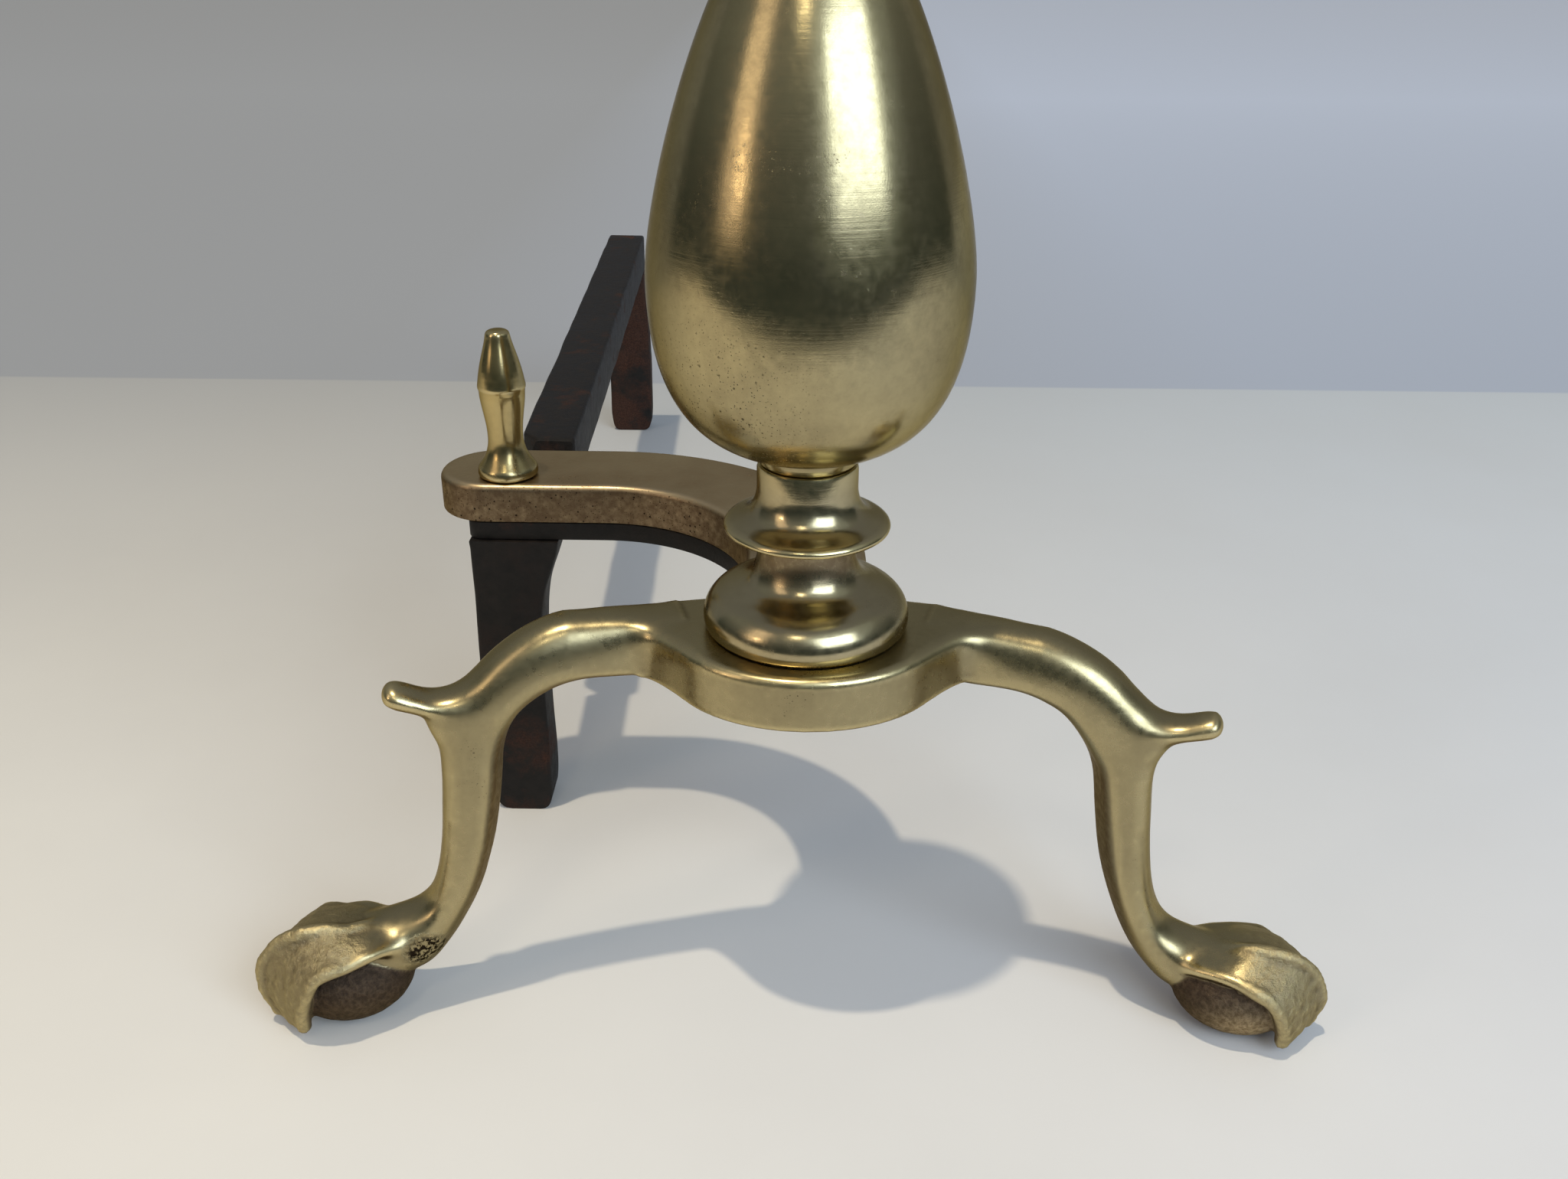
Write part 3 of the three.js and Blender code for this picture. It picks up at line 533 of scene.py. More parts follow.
def mark_unpolished_and_shade(piece):
    """Marks the faces that look back, inwards or down: partly left unpolished, partly painted shade where
    they turn from the light.
    """
    leans = leans_of(piece)
    side, out, _, _ = on_legs(points_of(piece))
    outward = np.stack((side * math.cos(leg_splay), np.full(len(side), -math.sin(leg_splay))), axis=1)
    inward = -(leans[:, :2] * outward).sum(1)
    hidden = np.maximum.reduce(
        [
            np.clip((inward - 0.45) / 0.4, 0, 1) * np.clip((out - 60) / 15, 0, 1),
            np.clip((-leans[:, 2] - 0.35) / 0.4, 0, 1),
            np.clip((leans[:, 1] - 0.5) / 0.4, 0, 1) * 0.7,
        ]
    )
    mark(piece, "unpolished_and_shaded", hidden)


def smooth(piece, angle=32):
    """Shades a piece smooth, apart from its edges sharper than an angle."""
    piece.data.shade_smooth()
    piece.data.set_sharp_from_angle(angle=math.radians(angle))


def eased(points, a, b, meet, share, rounds):
    """Smooths points towards their neighbours, by each point's own share."""
    for _ in range(rounds):
        sums = [
            np.bincount(a, points[b, k], len(points)) + np.bincount(b, points[a, k], len(points))
            for k in range(3)
        ]
        points = points + (0.5 * share)[:, None] * (np.stack(sums, axis=1) / meet[:, None] - points)
    return points


def within(value, low, high, soft):
    """1 between low and high, falling to 0 over a soft edge."""
    return np.clip((value - low) / soft, 0, 1) * np.clip((high - value) / soft, 0, 1)


# The joints of the tongue, the ankle and the platform were dressed smooth. No point
# lies lower than the least height, in metres.
least_height = 0.0001
shape = points_of(front_casting)
side, out, across, up = on_legs(shape)
tongue_root = within(out, 84, 108, 6) * within(up, 76, 104, 5)
ankle = within(out, 90, 124, 7) * within(up, 19, 62, 5) * within(across, -13.5, 14, 3)
knee = within(out, 34, 64, 5) * within(up, 101, 124, 4)
shape = eased(shape, *neighbours(front_casting), np.maximum.reduce([tongue_root, ankle, knee]), 60)
shape[:, 2] = np.maximum(shape[:, 2], least_height)

# The balls and the hoods kept the skin of the sand. The distance from a ball's middle
# is 1 on its surface.
side, out, across, up = on_legs(shape)
ball_distance = np.zeros(len(shape))
for foot in (-1, 1):
    (x, y, z), (half_length, radius) = ball_place[foot], ball_size[foot]
    rise = (up - z) / np.where(up > z, radius * ball_crown, radius)
    reach = ((out - x) / half_length) ** 2 + ((across - y) / radius) ** 2 + rise**2
    ball_distance = np.where(side == foot, np.sqrt(reach), ball_distance)
bare_ball = (1 - np.clip((np.abs(ball_distance - 1) - 0.012) / 0.03, 0, 1)) * (out > 96)
hood = np.clip((ball_distance - 1.02) / 0.04, 0, 1)
hood *= np.clip((out - 121) / 10, 0, 1) * np.clip((36 - up) / 6, 0, 1)
rough = np.clip(hood + 0.5 * bare_ball, 0, 1)
for i in np.nonzero(rough > 0.02)[0]:
    point = Vector(shape[i] * 1000)
    lumps = noise(point / 2.6) * 0.22 + noise(point / 1.2 + Vector((5, 3, 8))) * 0.12
    heart = placed(*on_leg(side[i], *ball_place[side[i]]))
    shape[i] += (shape[i] - heart) * rough[i] * lumps / hood_radius
shape[:, 2] = np.maximum(shape[:, 2], least_height)
front_casting.data.vertices.foreach_set("co", shape.ravel())
front_casting.data.update()
mark_wear(front_casting)
mark(front_casting, "as_cast", bare_ball)
mark(front_casting, "claw", hood)
# The right ball has a painted highlight low on its front, where the warm lamp's sheen falls, the left ball
# only a trace of it, and a blow hole opens beside the left one.
painted_sheen = np.exp(-(((out - 127) / 9) ** 2) - ((up - 8.5) / 6) ** 2) * (across < 0)
mark(front_casting, "painted_sheen", np.where(side > 0, painted_sheen, painted_sheen * 0.08))
blow = np.sqrt(((out - 108.0) / 6.0) ** 2 + ((up - 22.4) / 4.8) ** 2)
mark(front_casting, "blown", np.where((side < 0) & (across < -2), np.clip(1.25 - blow, 0, 1), 0))
mark_unpolished_and_shade(front_casting)
front_casting.data.shade_smooth()


class Finish:
    """A metal finish, put together from nodes."""

    def __init__(self, name):
        self.material = bpy.data.materials.new(name)
        self.material.use_nodes = True
        self.nodes = self.material.node_tree.nodes
        self.links = self.material.node_tree.links
        self.shader = self.nodes["Principled BSDF"]
        self.place = self.nodes.new("ShaderNodeTexCoord").outputs["Object"]

    def join(self, value, socket):
        """Feeds a socket from another node, or sets it to a plain value."""
        if hasattr(value, "links"):
            self.links.new(value, socket)
        else:
            socket.default_value = value

    def stretched(self, x, y, z):
        """The place on the piece, squeezed so that a pattern is drawn out along it."""
        mapping = self.nodes.new("ShaderNodeMapping")
        mapping.inputs["Scale"].default_value = (x, y, z)
        self.join(self.place, mapping.inputs["Vector"])
        return mapping.outputs["Vector"]

    def grain(self, size, detail=3.0, rough=0.55, place=None):
        """A cloudy pattern whose patches are about size millimetres across."""
        pattern = self.nodes.new("ShaderNodeTexNoise")
        pattern.inputs["Scale"].default_value = 1000 / size
        pattern.inputs["Detail"].default_value = detail
        pattern.inputs["Roughness"].default_value = rough
        self.join(place or self.place, pattern.inputs["Vector"])
        return pattern.outputs["Fac"]

    def specks(self, spacing, size):
        """Small round specks, about size of the spacing across."""
        cells = self.nodes.new("ShaderNodeTexVoronoi")
        cells.inputs["Scale"].default_value = 1000 / spacing
        self.join(self.place, cells.inputs["Vector"])
        chance = self.nodes.new("ShaderNodeSeparateColor")
        self.join(cells.outputs["Color"], chance.inputs["Color"])
        limit = self.times(chance.outputs["Red"], size)
        return self.ramp(self.work("SUBTRACT", limit, cells.outputs["Distance"]), 0, 0.06)

    def worn(self, name):
        """A mark that was left on the piece's points."""
        mark = self.nodes.new("ShaderNodeAttribute")
        mark.attribute_name = name
        return mark.outputs["Fac"]

    def height(self):
        """The height on the piece, in metres."""
        parts = self.nodes.new("ShaderNodeSeparateXYZ")
        self.join(self.place, parts.inputs["Vector"])
        return parts.outputs["Z"]

    def work(self, kind, a, b):
        """One step of arithmetic."""
        step = self.nodes.new("ShaderNodeMath")
        step.operation, step.use_clamp = kind, False
        self.join(a, step.inputs[0])
        self.join(b, step.inputs[1])
        return step.outputs["Value"]

    def plus(self, a, b):
        """The sum of two values."""
        return self.work("ADD", a, b)

    def times(self, a, b):
        """The product of two values."""
        return self.work("MULTIPLY", a, b)

    def most(self, a, b):
        """The larger of two values."""
        return self.work("MAXIMUM", a, b)

    def ramp(self, value, low, high, out_low=0.0, out_high=1.0):
        """A value between low and high, graded from out_low to out_high."""
        step = self.nodes.new("ShaderNodeMapRange")
        for socket, number in zip(range(1, 5), (low, high, out_low, out_high)):
            step.inputs[socket].default_value = number
        self.join(value, step.inputs["Value"])
        return step.outputs["Result"]

    def blend(self, share, first, second):
        """A colour between two colours."""
        step = self.nodes.new("ShaderNodeMix")
        step.data_type = "RGBA"
        self.join(share, step.inputs["Factor"])
        for colour, socket in ((first, step.inputs["A"]), (second, step.inputs["B"])):
            if isinstance(colour, tuple):
                socket.default_value = (*colour, 1)
            else:
                self.join(colour, socket)
        return step.outputs["Result"]

    def relief(self, *layers):
        """Adds bumps: pairs of a pattern and its depth in millimetres."""
        normal = self.shader.inputs["Normal"]
        for pattern, depth in layers:
            step = self.nodes.new("ShaderNodeBump")
            step.inputs["Strength"].default_value = 1
            step.inputs["Distance"].default_value = depth / 1000
            self.join(pattern, step.inputs["Height"])
            if normal.links:
                self.join(normal.links[0].from_socket, step.inputs["Normal"])
            self.join(step.outputs["Normal"], normal)


def old_brass(
    name, tone=brass_yellow, tarnish=brass_tarnish, dull=0.5, rough=0.22, pitted=0.5, dimpled=0.02
):
    """Old polished brass: cloudy, pitted, bright on its edges, brown in its corners, and painted darker on
    faces turned from the light.
    """
    finish = Finish(name)
    clouds = finish.grain(30, 4, 0.6)
    mottle = finish.grain(2.2, 4, 0.65)
    fine = finish.grain(0.35, 2, 0.6)
    cluster = finish.ramp(finish.grain(30, 3, 0.6), 0.62, 0.72)
    cluster = finish.most(cluster, finish.worn("scarred"))
    specks = finish.most(finish.specks(1.6, 0.24), finish.specks(0.62, 0.3))
    pits = finish.times(specks, cluster)
    film = finish.ramp(finish.plus(clouds, finish.times(mottle, 0.35)), 0.5, 0.95)
    colour = finish.blend(finish.times(film, dull), tone, tarnish)
    colour = finish.blend(finish.ramp(finish.worn("proud"), 0.15, 0.8, 0, 0.8), colour, brass_bright)
    colour = finish.blend(finish.ramp(finish.worn("hollow"), 0.1, 0.7, 0, 0.8), colour, tarnish)
    # Marked faces get the unpolished brown, which is partly painted shade on faces turned from the light.
    unpolished_and_shade_share = finish.times(finish.worn("unpolished_and_shaded"), finish.ramp(mottle, 0.3, 0.6, 0.7, 1))
    colour = finish.blend(unpolished_and_shade_share, colour, brass_unpolished_and_shade)
    colour = finish.blend(finish.times(pits, pitted), colour, pit_dirt)
    finish.join(colour, finish.shader.inputs["Base Color"])
    surface = finish.plus(rough, finish.ramp(mottle, 0.35, 0.7, 0, 0.07))
    surface = finish.plus(surface, finish.times(film, 0.09))
    surface = finish.plus(surface, finish.times(unpolished_and_shade_share, 0.14))
    surface = finish.plus(surface, finish.times(pits, 0.4))
    finish.join(surface, finish.shader.inputs["Roughness"])
    finish.shader.inputs["Metallic"].default_value = 1
    finish.shader.inputs["Specular Tint"].default_value = (0.62, 0.55, 0.40, 1)
    finish.relief((mottle, dimpled), (fine, 0.008), (finish.times(pits, -1.0), 0.12 * pitted))
    return finish


# On the feet the web between the talons is mottled, the ball sooty with a painted highlight in
# one place, and a blow hole is dark to its bottom.
cast_brass = old_brass(
    "cast_brass_filed_and_polished", tone=(0.40, 0.335, 0.185), dull=0.4, rough=0.23, pitted=0.9
)
base = cast_brass.shader.inputs["Base Color"]
sheen = cast_brass.shader.inputs["Roughness"]
sand = cast_brass.grain(1.4, 5, 0.7)
coarse = cast_brass.ramp(sand, 0.4, 0.62)
web = cast_brass.times(cast_brass.worn("claw"), cast_brass.ramp(sand, 0.42, 0.6, 0.1, 0.6))
webbed = cast_brass.blend(web, base.links[0].from_socket, (0.33, 0.27, 0.165))
sooty = cast_brass.blend(coarse, ball_skin, (0.105, 0.073, 0.05))
# Lit colour of the painted highlight on the ball.
painted_sheen_colour = cast_brass.blend(coarse, (0.25, 0.18, 0.10), (0.52, 0.41, 0.25))
sooty = cast_brass.blend(cast_brass.worn("painted_sheen"), sooty, painted_sheen_colour)
bare = cast_brass.blend(cast_brass.worn("as_cast"), webbed, sooty)
blown = cast_brass.times(cast_brass.worn("blown"), cast_brass.ramp(sand, 0.46, 0.54, 1, 0))
cast_brass.join(cast_brass.blend(cast_brass.ramp(blown, 0.15, 0.5), bare, (0.02, 0.014, 0.01)), base)
surface = sheen.links[0].from_socket
for name, extra in (("claw", 0.14), ("as_cast", 0.26), ("blown", 0.2)):
    surface = cast_brass.plus(surface, cast_brass.times(cast_brass.worn(name), extra))
cast_brass.join(surface, sheen)
skin_of_sand = cast_brass.most(cast_brass.worn("claw"), cast_brass.worn("as_cast"))
skin_of_sand = cast_brass.most(skin_of_sand, cast_brass.ramp(blown, 0, 0.6, 0, 1.5))
cast_brass.relief((cast_brass.times(sand, skin_of_sand), 0.5))


def dressed(piece, finish, slot, *stands_for):
    """Gives a piece its finish and fixes it to the andiron in place of its solids."""
    piece.data.materials.clear()
    piece.data.materials.append(finish.material)
    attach(piece, "root")
    if stands_for:
        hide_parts(*stands_for)


dressed(front_casting, cast_brass, "cast_brass", "front_base")

# -------------------------------------------------------------------- column foot
# The column stands on a turned brass cushion with a short neck above it. It was cast
# in one piece, turned on a lathe and bored for the rod that draws the column together.

seat = 0.25
foot_base = platform_top + seat
foot_height, lower_neck = 26.2, 12.2


def spun(name, profile, base, middle=(0, 0), sides=128):
    """Spins a profile of (radius, height) round its axis."""
    metal = bmesh.new()
    rings = []
    for radius, height in profile:
        if radius < 0.01:
            rings.append([metal.verts.new(placed(*middle, base + height))])
            continue
        rings.append(
            [
                metal.verts.new(placed(x, y, base + height))
                for x, y in circle(radius, sides, middle)
            ]
        )
    closed = profile[0][0] > 0.01
    pairs = list(zip(rings, rings[1:])) + ([(rings[-1], rings[0])] if closed else [])
    for low, high in pairs:
        for i in range(sides):
            j = (i + 1) % sides
            corners = [low[i % len(low)], low[j % len(low)], high[j % len(high)], high[i % len(high)]]
            metal.faces.new(dict.fromkeys(corners))
    piece = made(name, metal)
    mark_wear(piece, rounds=2, reach=6.0)
    smooth(piece)
    return piece


def turned_brass(name, dull=0.35, rough=0.13, pitted=0.3, tone=brass_yellow):
    """Lathe-turned brass: fine rings left by the tool run round it."""
    finish = old_brass(name, tone=tone, dull=dull, rough=rough, pitted=pitted, dimpled=0.01)
    rings = finish.grain(1.1, 3, 0.7, finish.stretched(0.02, 0.02, 1))
    streaks = finish.grain(0.5, 2, 0.6, finish.stretched(1, 1, 0.04))
    finish.relief((rings, 0.018), (streaks, 0.005))
    return finish


# Half width and height, from the seat to the top of the neck.
foot_profile = [(rod_hole, 0), (25.0, 0)]
foot_profile += [
    tuple(row)
    for row in through(
        [
            (25.4, 0.4),
            (25.9, 1.2),
            (26.2, 2.9),
            (26.0, 4.9),
            (25.1, 7.1),
            (23.4, 9.1),
            (20.9, 10.7),
            (18.1, 12.0),
            (15.7, 13.4),
            (14.0, 15.2),
            (13.0, 17.4),
            (12.4, 19.7),
            (lower_neck, 22),
            (lower_neck, 25.7),
        ],
        5,
    )
]
foot_profile += [(lower_neck - 0.4, foot_height), (rod_hole, foot_height)]
column_brass = turned_brass("turned_brass_column", rough=0.15, pitted=0.2, tone=(0.43, 0.365, 0.22))
column_foot = spun("column_foot_cushion", foot_profile, foot_base)
heights = (points_of(column_foot)[:, 2] * 1000 - foot_base) / foot_height
# The neck and the hollow under the collar are painted darker brown: painted shade below the collar.
mark(column_foot, "unpolished_and_shaded", np.clip((heights - 0.56) / 0.14, 0, 1) * 0.8)
dressed(column_foot, column_brass, "turned_brass", "column_foot")

# -------------------------------------------------------------------- neck collar
# A thin flared brass collar between the cushion and the vase, with a waist above it.
# It only rests on its neighbours: the rod down the middle holds it.

collar_base = foot_base + foot_height + seat
collar_height, collar_radius, upper_neck = 17.6, 20.8, 12.5


def drawn(start, *bends):
    """A line drawn on from its start through one bend after another."""
    line = []
    for pull_1, pull_2, end, steps in bends:
        line += bend(start, pull_1, pull_2, end, steps)
        start = end
    return line


collar_profile = [(rod_hole, 0), (lower_neck - 0.3, 0), (lower_neck, 0.2)]
collar_profile += drawn(
    (lower_neck, 0.2),
    ((15, 0.2), (17.6, 0.3), (collar_radius - 0.4, 0.6), 10),
    ((collar_radius, 0.8), (collar_radius + 0.1, 1.4), (collar_radius - 0.2, 1.9), 6),
    ((collar_radius - 1, 2.9), (collar_radius - 2.2, 3.1), (collar_radius - 3.2, 3.5), 8),
    (
        (collar_radius - 5.6, 4.4),
        (upper_neck + 0.3, collar_height * 0.36),
        (upper_neck, collar_height * 0.64),
        18,
    ),
)
collar_profile += [
    (upper_neck, collar_height - 1.2),
    (upper_neck - 0.25, collar_height - 0.3),
    (upper_neck - 0.8, collar_height),
    (rod_hole, collar_height),
]
neck_collar = spun("flared_neck_collar", collar_profile, collar_base)
dressed(neck_collar, column_brass, "turned_brass", "neck_collar")

# --------------------------------------------------------------------------- vase
# The vase is a hollow brass casting, turned and polished outside. It is round and low
# in the belly and drawn in to a slender neck, and it shows pits and faint tool rings.

vase_base = vase_low.z * 1000
vase_height, vase_radius, belly = 130, 38, 45
vase_neck = 10
shoulder = vase_radius * 0.71
throat = vase_radius * 0.4
rise = vase_height - belly
throat_height = belly + rise * 0.853

vase_profile = [(rod_hole, 0), (upper_neck - 0.8, 0), (upper_neck - 0.2, 0.7), (upper_neck + 0.3, 3)]
vase_profile += drawn(
    (upper_neck + 0.3, 3),
    ((shoulder, belly * 0.145), (vase_radius, belly * 0.36), (vase_radius, belly), 40),
    ((vase_radius, belly + rise * 0.2), (shoulder, belly + rise * 0.65), (throat, throat_height), 40),
    (
        (throat - 3.5, belly + rise * 0.91),
        (vase_neck, vase_height - rise * 0.04),
        (vase_neck, vase_height),
        12,
    ),
)
vase_profile += [(rod_hole, vase_height)]
vase_brass = turned_brass("turned_brass_vase", dull=0.6, rough=0.15, pitted=0.9, tone=(0.45, 0.38, 0.21))
vase = spun("vase", vase_profile, vase_base, sides=192)
# Its lower left, as seen from in front, is scarred: the bearing is 0 in front.
around = points_of(vase) - np.array((column_x, column_y, vase_base / 1000))
bearing = np.degrees(np.arctan2(around[:, 0], -around[:, 1]))
scars = np.exp(-(((bearing + 36) / 28) ** 2) - ((around[:, 2] * 1000 - 22) / 16) ** 2)
mark(vase, "scarred", np.clip(scars * 1.1, 0, 1) * 0.75)
dressed(vase, vase_brass, "turned_brass", "vase_body")

# --------------------------------------------------------------------- top collar
# A small turned collar on the vase's neck repeats the flared one below the vase.

top_collar_base = vase_base + vase_height + seat
top_collar_height, top_collar_rim, top_neck = 12, 15, 7.6

top_collar_profile = [(rod_hole, 0), (vase_neck - 0.2, 0), (vase_neck, 0.2)]
top_collar_profile += drawn(
    (vase_neck, 0.2),
    ((12.4, 0.3), (13.9, 0.6), (top_collar_rim, 1.4), 8),
    ((top_collar_rim + 0.5, 1.7), (top_collar_rim + 0.5, 2.5), (top_collar_rim, 2.8), 6),
    ((12.5, 4.3), (top_neck, 4.8), (top_neck, 9.6), 14),
)
top_collar_profile += [
    (top_neck, top_collar_height - 0.3),
    (top_neck - 0.3, top_collar_height),
    (rod_hole, top_collar_height),
]
top_collar = spun("top_collar_ring", top_collar_profile, top_collar_base)
dressed(top_collar, column_brass, "turned_brass", "top_collar")

# --------------------------------------------------------------------- top finial
# The finial screws on to the rod and clamps the whole column. It has the same bell,
# belt and drawn-in cap as the small finial on the arm.

top_finial_base = top_collar_base + top_collar_height + seat


def finial_profile(foot, waist, belt, tip, height, bore, grip):
    """Half the outline of a finial, whose blind bore grips what it is screwed on."""
    line = [(0, grip), (bore, grip), (bore, 0), (foot - 1.2, 0), (foot - 0.7, 0.1)]
    line += drawn(
        (foot - 0.7, 0.1),
        ((foot - 0.1, 0.4), (foot, height * 0.03), (foot - 0.5, height * 0.065), 7),
        ((foot - 2.2, height * 0.12), (waist, height * 0.17), (waist, height * 0.27), 14),
        ((waist, height * 0.4), (belt - 0.4, height * 0.48), (belt - 0.3, height * 0.6), 14),
    )
    line += [(belt - 0.05, height * 0.61), (belt, height * 0.622), (belt - 0.05, height * 0.634)]
    return line + drawn(
        (belt - 0.2, height * 0.645),
        ((belt - 0.9, height * 0.78), (tip + 0.6, height * 0.88), (tip, height * 0.965), 18),
        ((tip - 0.2, height * 0.99), (tip - 1, height), (0, height), 8),
    )


top_finial_profile = finial_profile(
    foot=top_neck + 2.6,
    waist=top_neck - 1.2,
    belt=12.4,
    tip=top_neck - 1.8,
    height=52,
    bore=rod_hole,
    grip=24.3,
)
top_finial = spun("column_top_finial", top_finial_profile, top_finial_base)
dressed(top_finial, column_brass, "turned_brass", "top_finial")

# --------------------------------------------------------- tie rod, washer and nut
# A plain iron rod runs down the column into the hollow of the platform, where a
# washer and a hexagon nut draw it tight against the strap of the arm.


def plain_steel(name):
    """Dulled steel with brown patches."""
    finish = Finish(name)
    mottle = finish.grain(3.0, 4, 0.65)
    colour = finish.blend(finish.ramp(mottle, 0.45, 0.7), (0.16, 0.15, 0.14), (0.09, 0.05, 0.03))
    finish.join(colour, finish.shader.inputs["Base Color"])
    finish.join(finish.ramp(mottle, 0.3, 0.7, 0.4, 0.7), finish.shader.inputs["Roughness"])
    finish.shader.inputs["Metallic"].default_value = 0.8
    finish.relief((mottle, 0.06))
    return finish


fixing_steel = plain_steel("fixing_steel_dulled")


def refinish(node, finish):
    """Gives a solid that keeps its own shape a real finish."""
    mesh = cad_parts[node].data
    mesh.materials.clear()
    mesh.materials.append(finish.material)


for node in ("tie_rod", "tie_rod_washer", "tie_rod_nut"):
    refinish(node, fixing_steel)

# ------------------------------------------------------------- brass part of the arm
# The arm sweeps from behind the column to the left. Its upper half is a flat brass
# casting with a round end, drawn lengthwise with a file, pitted along its front edge.

strap_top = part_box("iron_under_arm")[1].z * 1000
arm_thickness = 12.2
arm_low = strap_top + seat
arm_top = arm_low + arm_thickness
arm_turn, arm_half = 62.5, 16.5
arm_straight = platform_back + 2.5
arm_end = 99
arm_middle = arm_straight + arm_turn


def sweep_edge(away, angles):
    """An edge of the sweep, so far outside or inside its middle line."""
    reach = arm_turn + away
    return [(-arm_turn + reach * math.cos(a), arm_straight + reach * math.sin(a)) for a in angles]


def arm_plan(inset, z):
    """The arm's outline, hollowed at its root to fit the platform's round back."""
    half = arm_half - inset
    hollow = platform_back + 0.3 + inset
    edge = math.asin(half / hollow)
    line = [(hollow * math.sin(a), hollow * math.cos(a)) for a in np.linspace(-edge, edge, 16)]
    line += [(half, arm_straight)]
    line += sweep_edge(half, np.linspace(0, math.pi / 2, 48)[1:])
    for a in np.linspace(math.pi / 2, 3 * math.pi / 2, 36):
        line.append((-arm_end + half * math.cos(a), arm_middle + half * math.sin(a)))
    line += sweep_edge(-half, np.linspace(math.pi / 2, 0, 36))
    return [(x, y, z) for x, y in line]


def rounded_levels(low, high, under, over, steps=6):
    """Levels of a plate whose lower and upper edges are rounded."""
    levels = [(under * 1.3, low)]
    for a in np.linspace(math.pi / 2, 0, steps):
        levels.append((under * (1 - math.cos(a)), low + under * (1 - math.sin(a))))
    for a in np.linspace(0, math.pi / 2, steps):
        levels.append((over * (1 - math.cos(a)), high - over * (1 - math.sin(a))))
    return levels + [(over * 1.25, high)]


brass_arm = made("brass_arm_casting", raised(arm_plan, rounded_levels(arm_low, arm_top, 0.6, 2.3)))
mark_wear(brass_arm, rounds=1, reach=2.0)
# The faces that do not look up are painted darker brown, as shade from the casting, and they are pitted.
fronts = np.clip((0.75 - leans_of(brass_arm)[:, 2]) / 0.3, 0, 1)
mark(brass_arm, "unpolished_and_shaded", fronts)
mark(brass_arm, "scarred", fronts * 0.9)
smooth(brass_arm)
arm_brass = old_brass(
    "cast_brass_arm", tone=(0.60, 0.47, 0.29), tarnish=(0.25, 0.165, 0.10), dull=0.6, rough=0.27, pitted=1.0
)
dressed(brass_arm, arm_brass, "cast_brass", "brass_arm")

# -------------------------------------------------------------- iron part of the arm
# Under the brass lies a flat wrought-iron strap of the same sweep. It narrows to a
# tongue with an eye for the tie rod, and it is screwed to the brass from below.

soot_black, scale_grey = (0.005, 0.0043, 0.0038), (0.0145, 0.0115, 0.0095)
rust_brown, rust_red = (0.024, 0.010, 0.007), (0.06, 0.026, 0.015)


def black_iron(name, rust=0.3, rust_low=None):
    """Wrought iron, blackened by the fire, with rust coming through."""
    finish = Finish(name)
    scale = finish.grain(4.5, 5, 0.7)
    fine = finish.grain(0.7, 4, 0.65)
    patch = finish.ramp(finish.grain(17, 5, 0.65), 0.62 - rust * 0.25, 0.78 - rust * 0.25)
    if rust_low:
        low = finish.ramp(finish.height(), rust_low[0] / 1000, rust_low[1] / 1000, 1, 0)
        patch = finish.times(patch, finish.plus(finish.times(low, 0.85), 0.15))
    black = finish.blend(finish.ramp(scale, 0.35, 0.7), soot_black, scale_grey)
    red = finish.blend(finish.ramp(fine, 0.35, 0.68), rust_brown, rust_red)
    finish.join(finish.blend(patch, black, red), finish.shader.inputs["Base Color"])
    surface = finish.plus(finish.ramp(scale, 0.3, 0.7, 0.52, 0.7), finish.times(patch, 0.25))
    finish.join(surface, finish.shader.inputs["Roughness"])
    finish.shader.inputs["Metallic"].default_value = 0
    finish.shader.inputs["Specular IOR Level"].default_value = 0.24
    finish.relief((scale, 0.35), (fine, 0.08))
    return finish


strap_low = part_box("iron_under_arm")[0].z * 1000
strap_end, strap_round, strap_set_in = -105.4, 4.0, 0.6
eye, tongue_half, tongue_taper = 12.5, 12.5, 4


def strap_plan(inset, z):
    """The strap's outline: the arm's sweep, cut square at its end, and the tongue with its eye."""
    half = arm_half - strap_set_in - inset
    narrow = tongue_half - inset
    line = [((eye - inset) * math.cos(a), (eye - inset) * math.sin(a)) for a in np.linspace(-math.pi, 0, 28)]
    line += [(narrow, arm_straight - tongue_taper), (half, arm_straight)]
    line += sweep_edge(half, np.linspace(0, math.pi / 2, 48)[1:])
    end = strap_end + inset
    for away, start in ((half, math.pi / 2), (-half, math.pi)):
        middle = (end + strap_round, arm_middle + away - math.copysign(strap_round, away))
        for a in np.linspace(start, start + math.pi / 2, 6):
            line.append((middle[0] + strap_round * math.cos(a), middle[1] + strap_round * math.sin(a)))
    line += sweep_edge(-half, np.linspace(math.pi / 2, 0, 36))
    line += [(-narrow, arm_straight - tongue_taper)]
    return [(x, y, z) for x, y in line]


def bore(node, radius):
    """A drill for the hole in which a fixing's shank stands."""
    low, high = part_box(node)
    middle = (((low.x + high.x) / 2 - column_x) * 1000, ((low.y + high.y) / 2 - column_y) * 1000)
    return drum(circle(radius, 24, middle), strap_low - 2, strap_top + 2)


strap = made("wrought_strap", raised(strap_plan, rounded_levels(strap_low, strap_top, 0.5, 0.5, 3)))
cut(
    strap,
    drum(circle(rod_hole, 32), strap_low - 2, strap_top + 2),
    bore("log_stop_stud", 2.8),
    *[bore(screw, 2.5) for screw in ("arm_screw_front", "arm_screw_back")],
    *[bore(rivet, 2.7) for rivet in ("bar_rivet_outer", "bar_rivet_inner")],
)
smooth(strap)
strap_iron = black_iron("black_iron_strap", rust=0.15)
dressed(strap, strap_iron, "black_iron", "iron_under_arm")
for node in ("arm_screw_front", "arm_screw_back", "log_stop_stud"):
    refinish(node, fixing_steel)

# ------------------------------------------------------------------- log stop finial
# A turned brass finial stands on the arm's round end and keeps the logs off the
# column. A stud runs from it down through the arm and the strap into the iron leg.

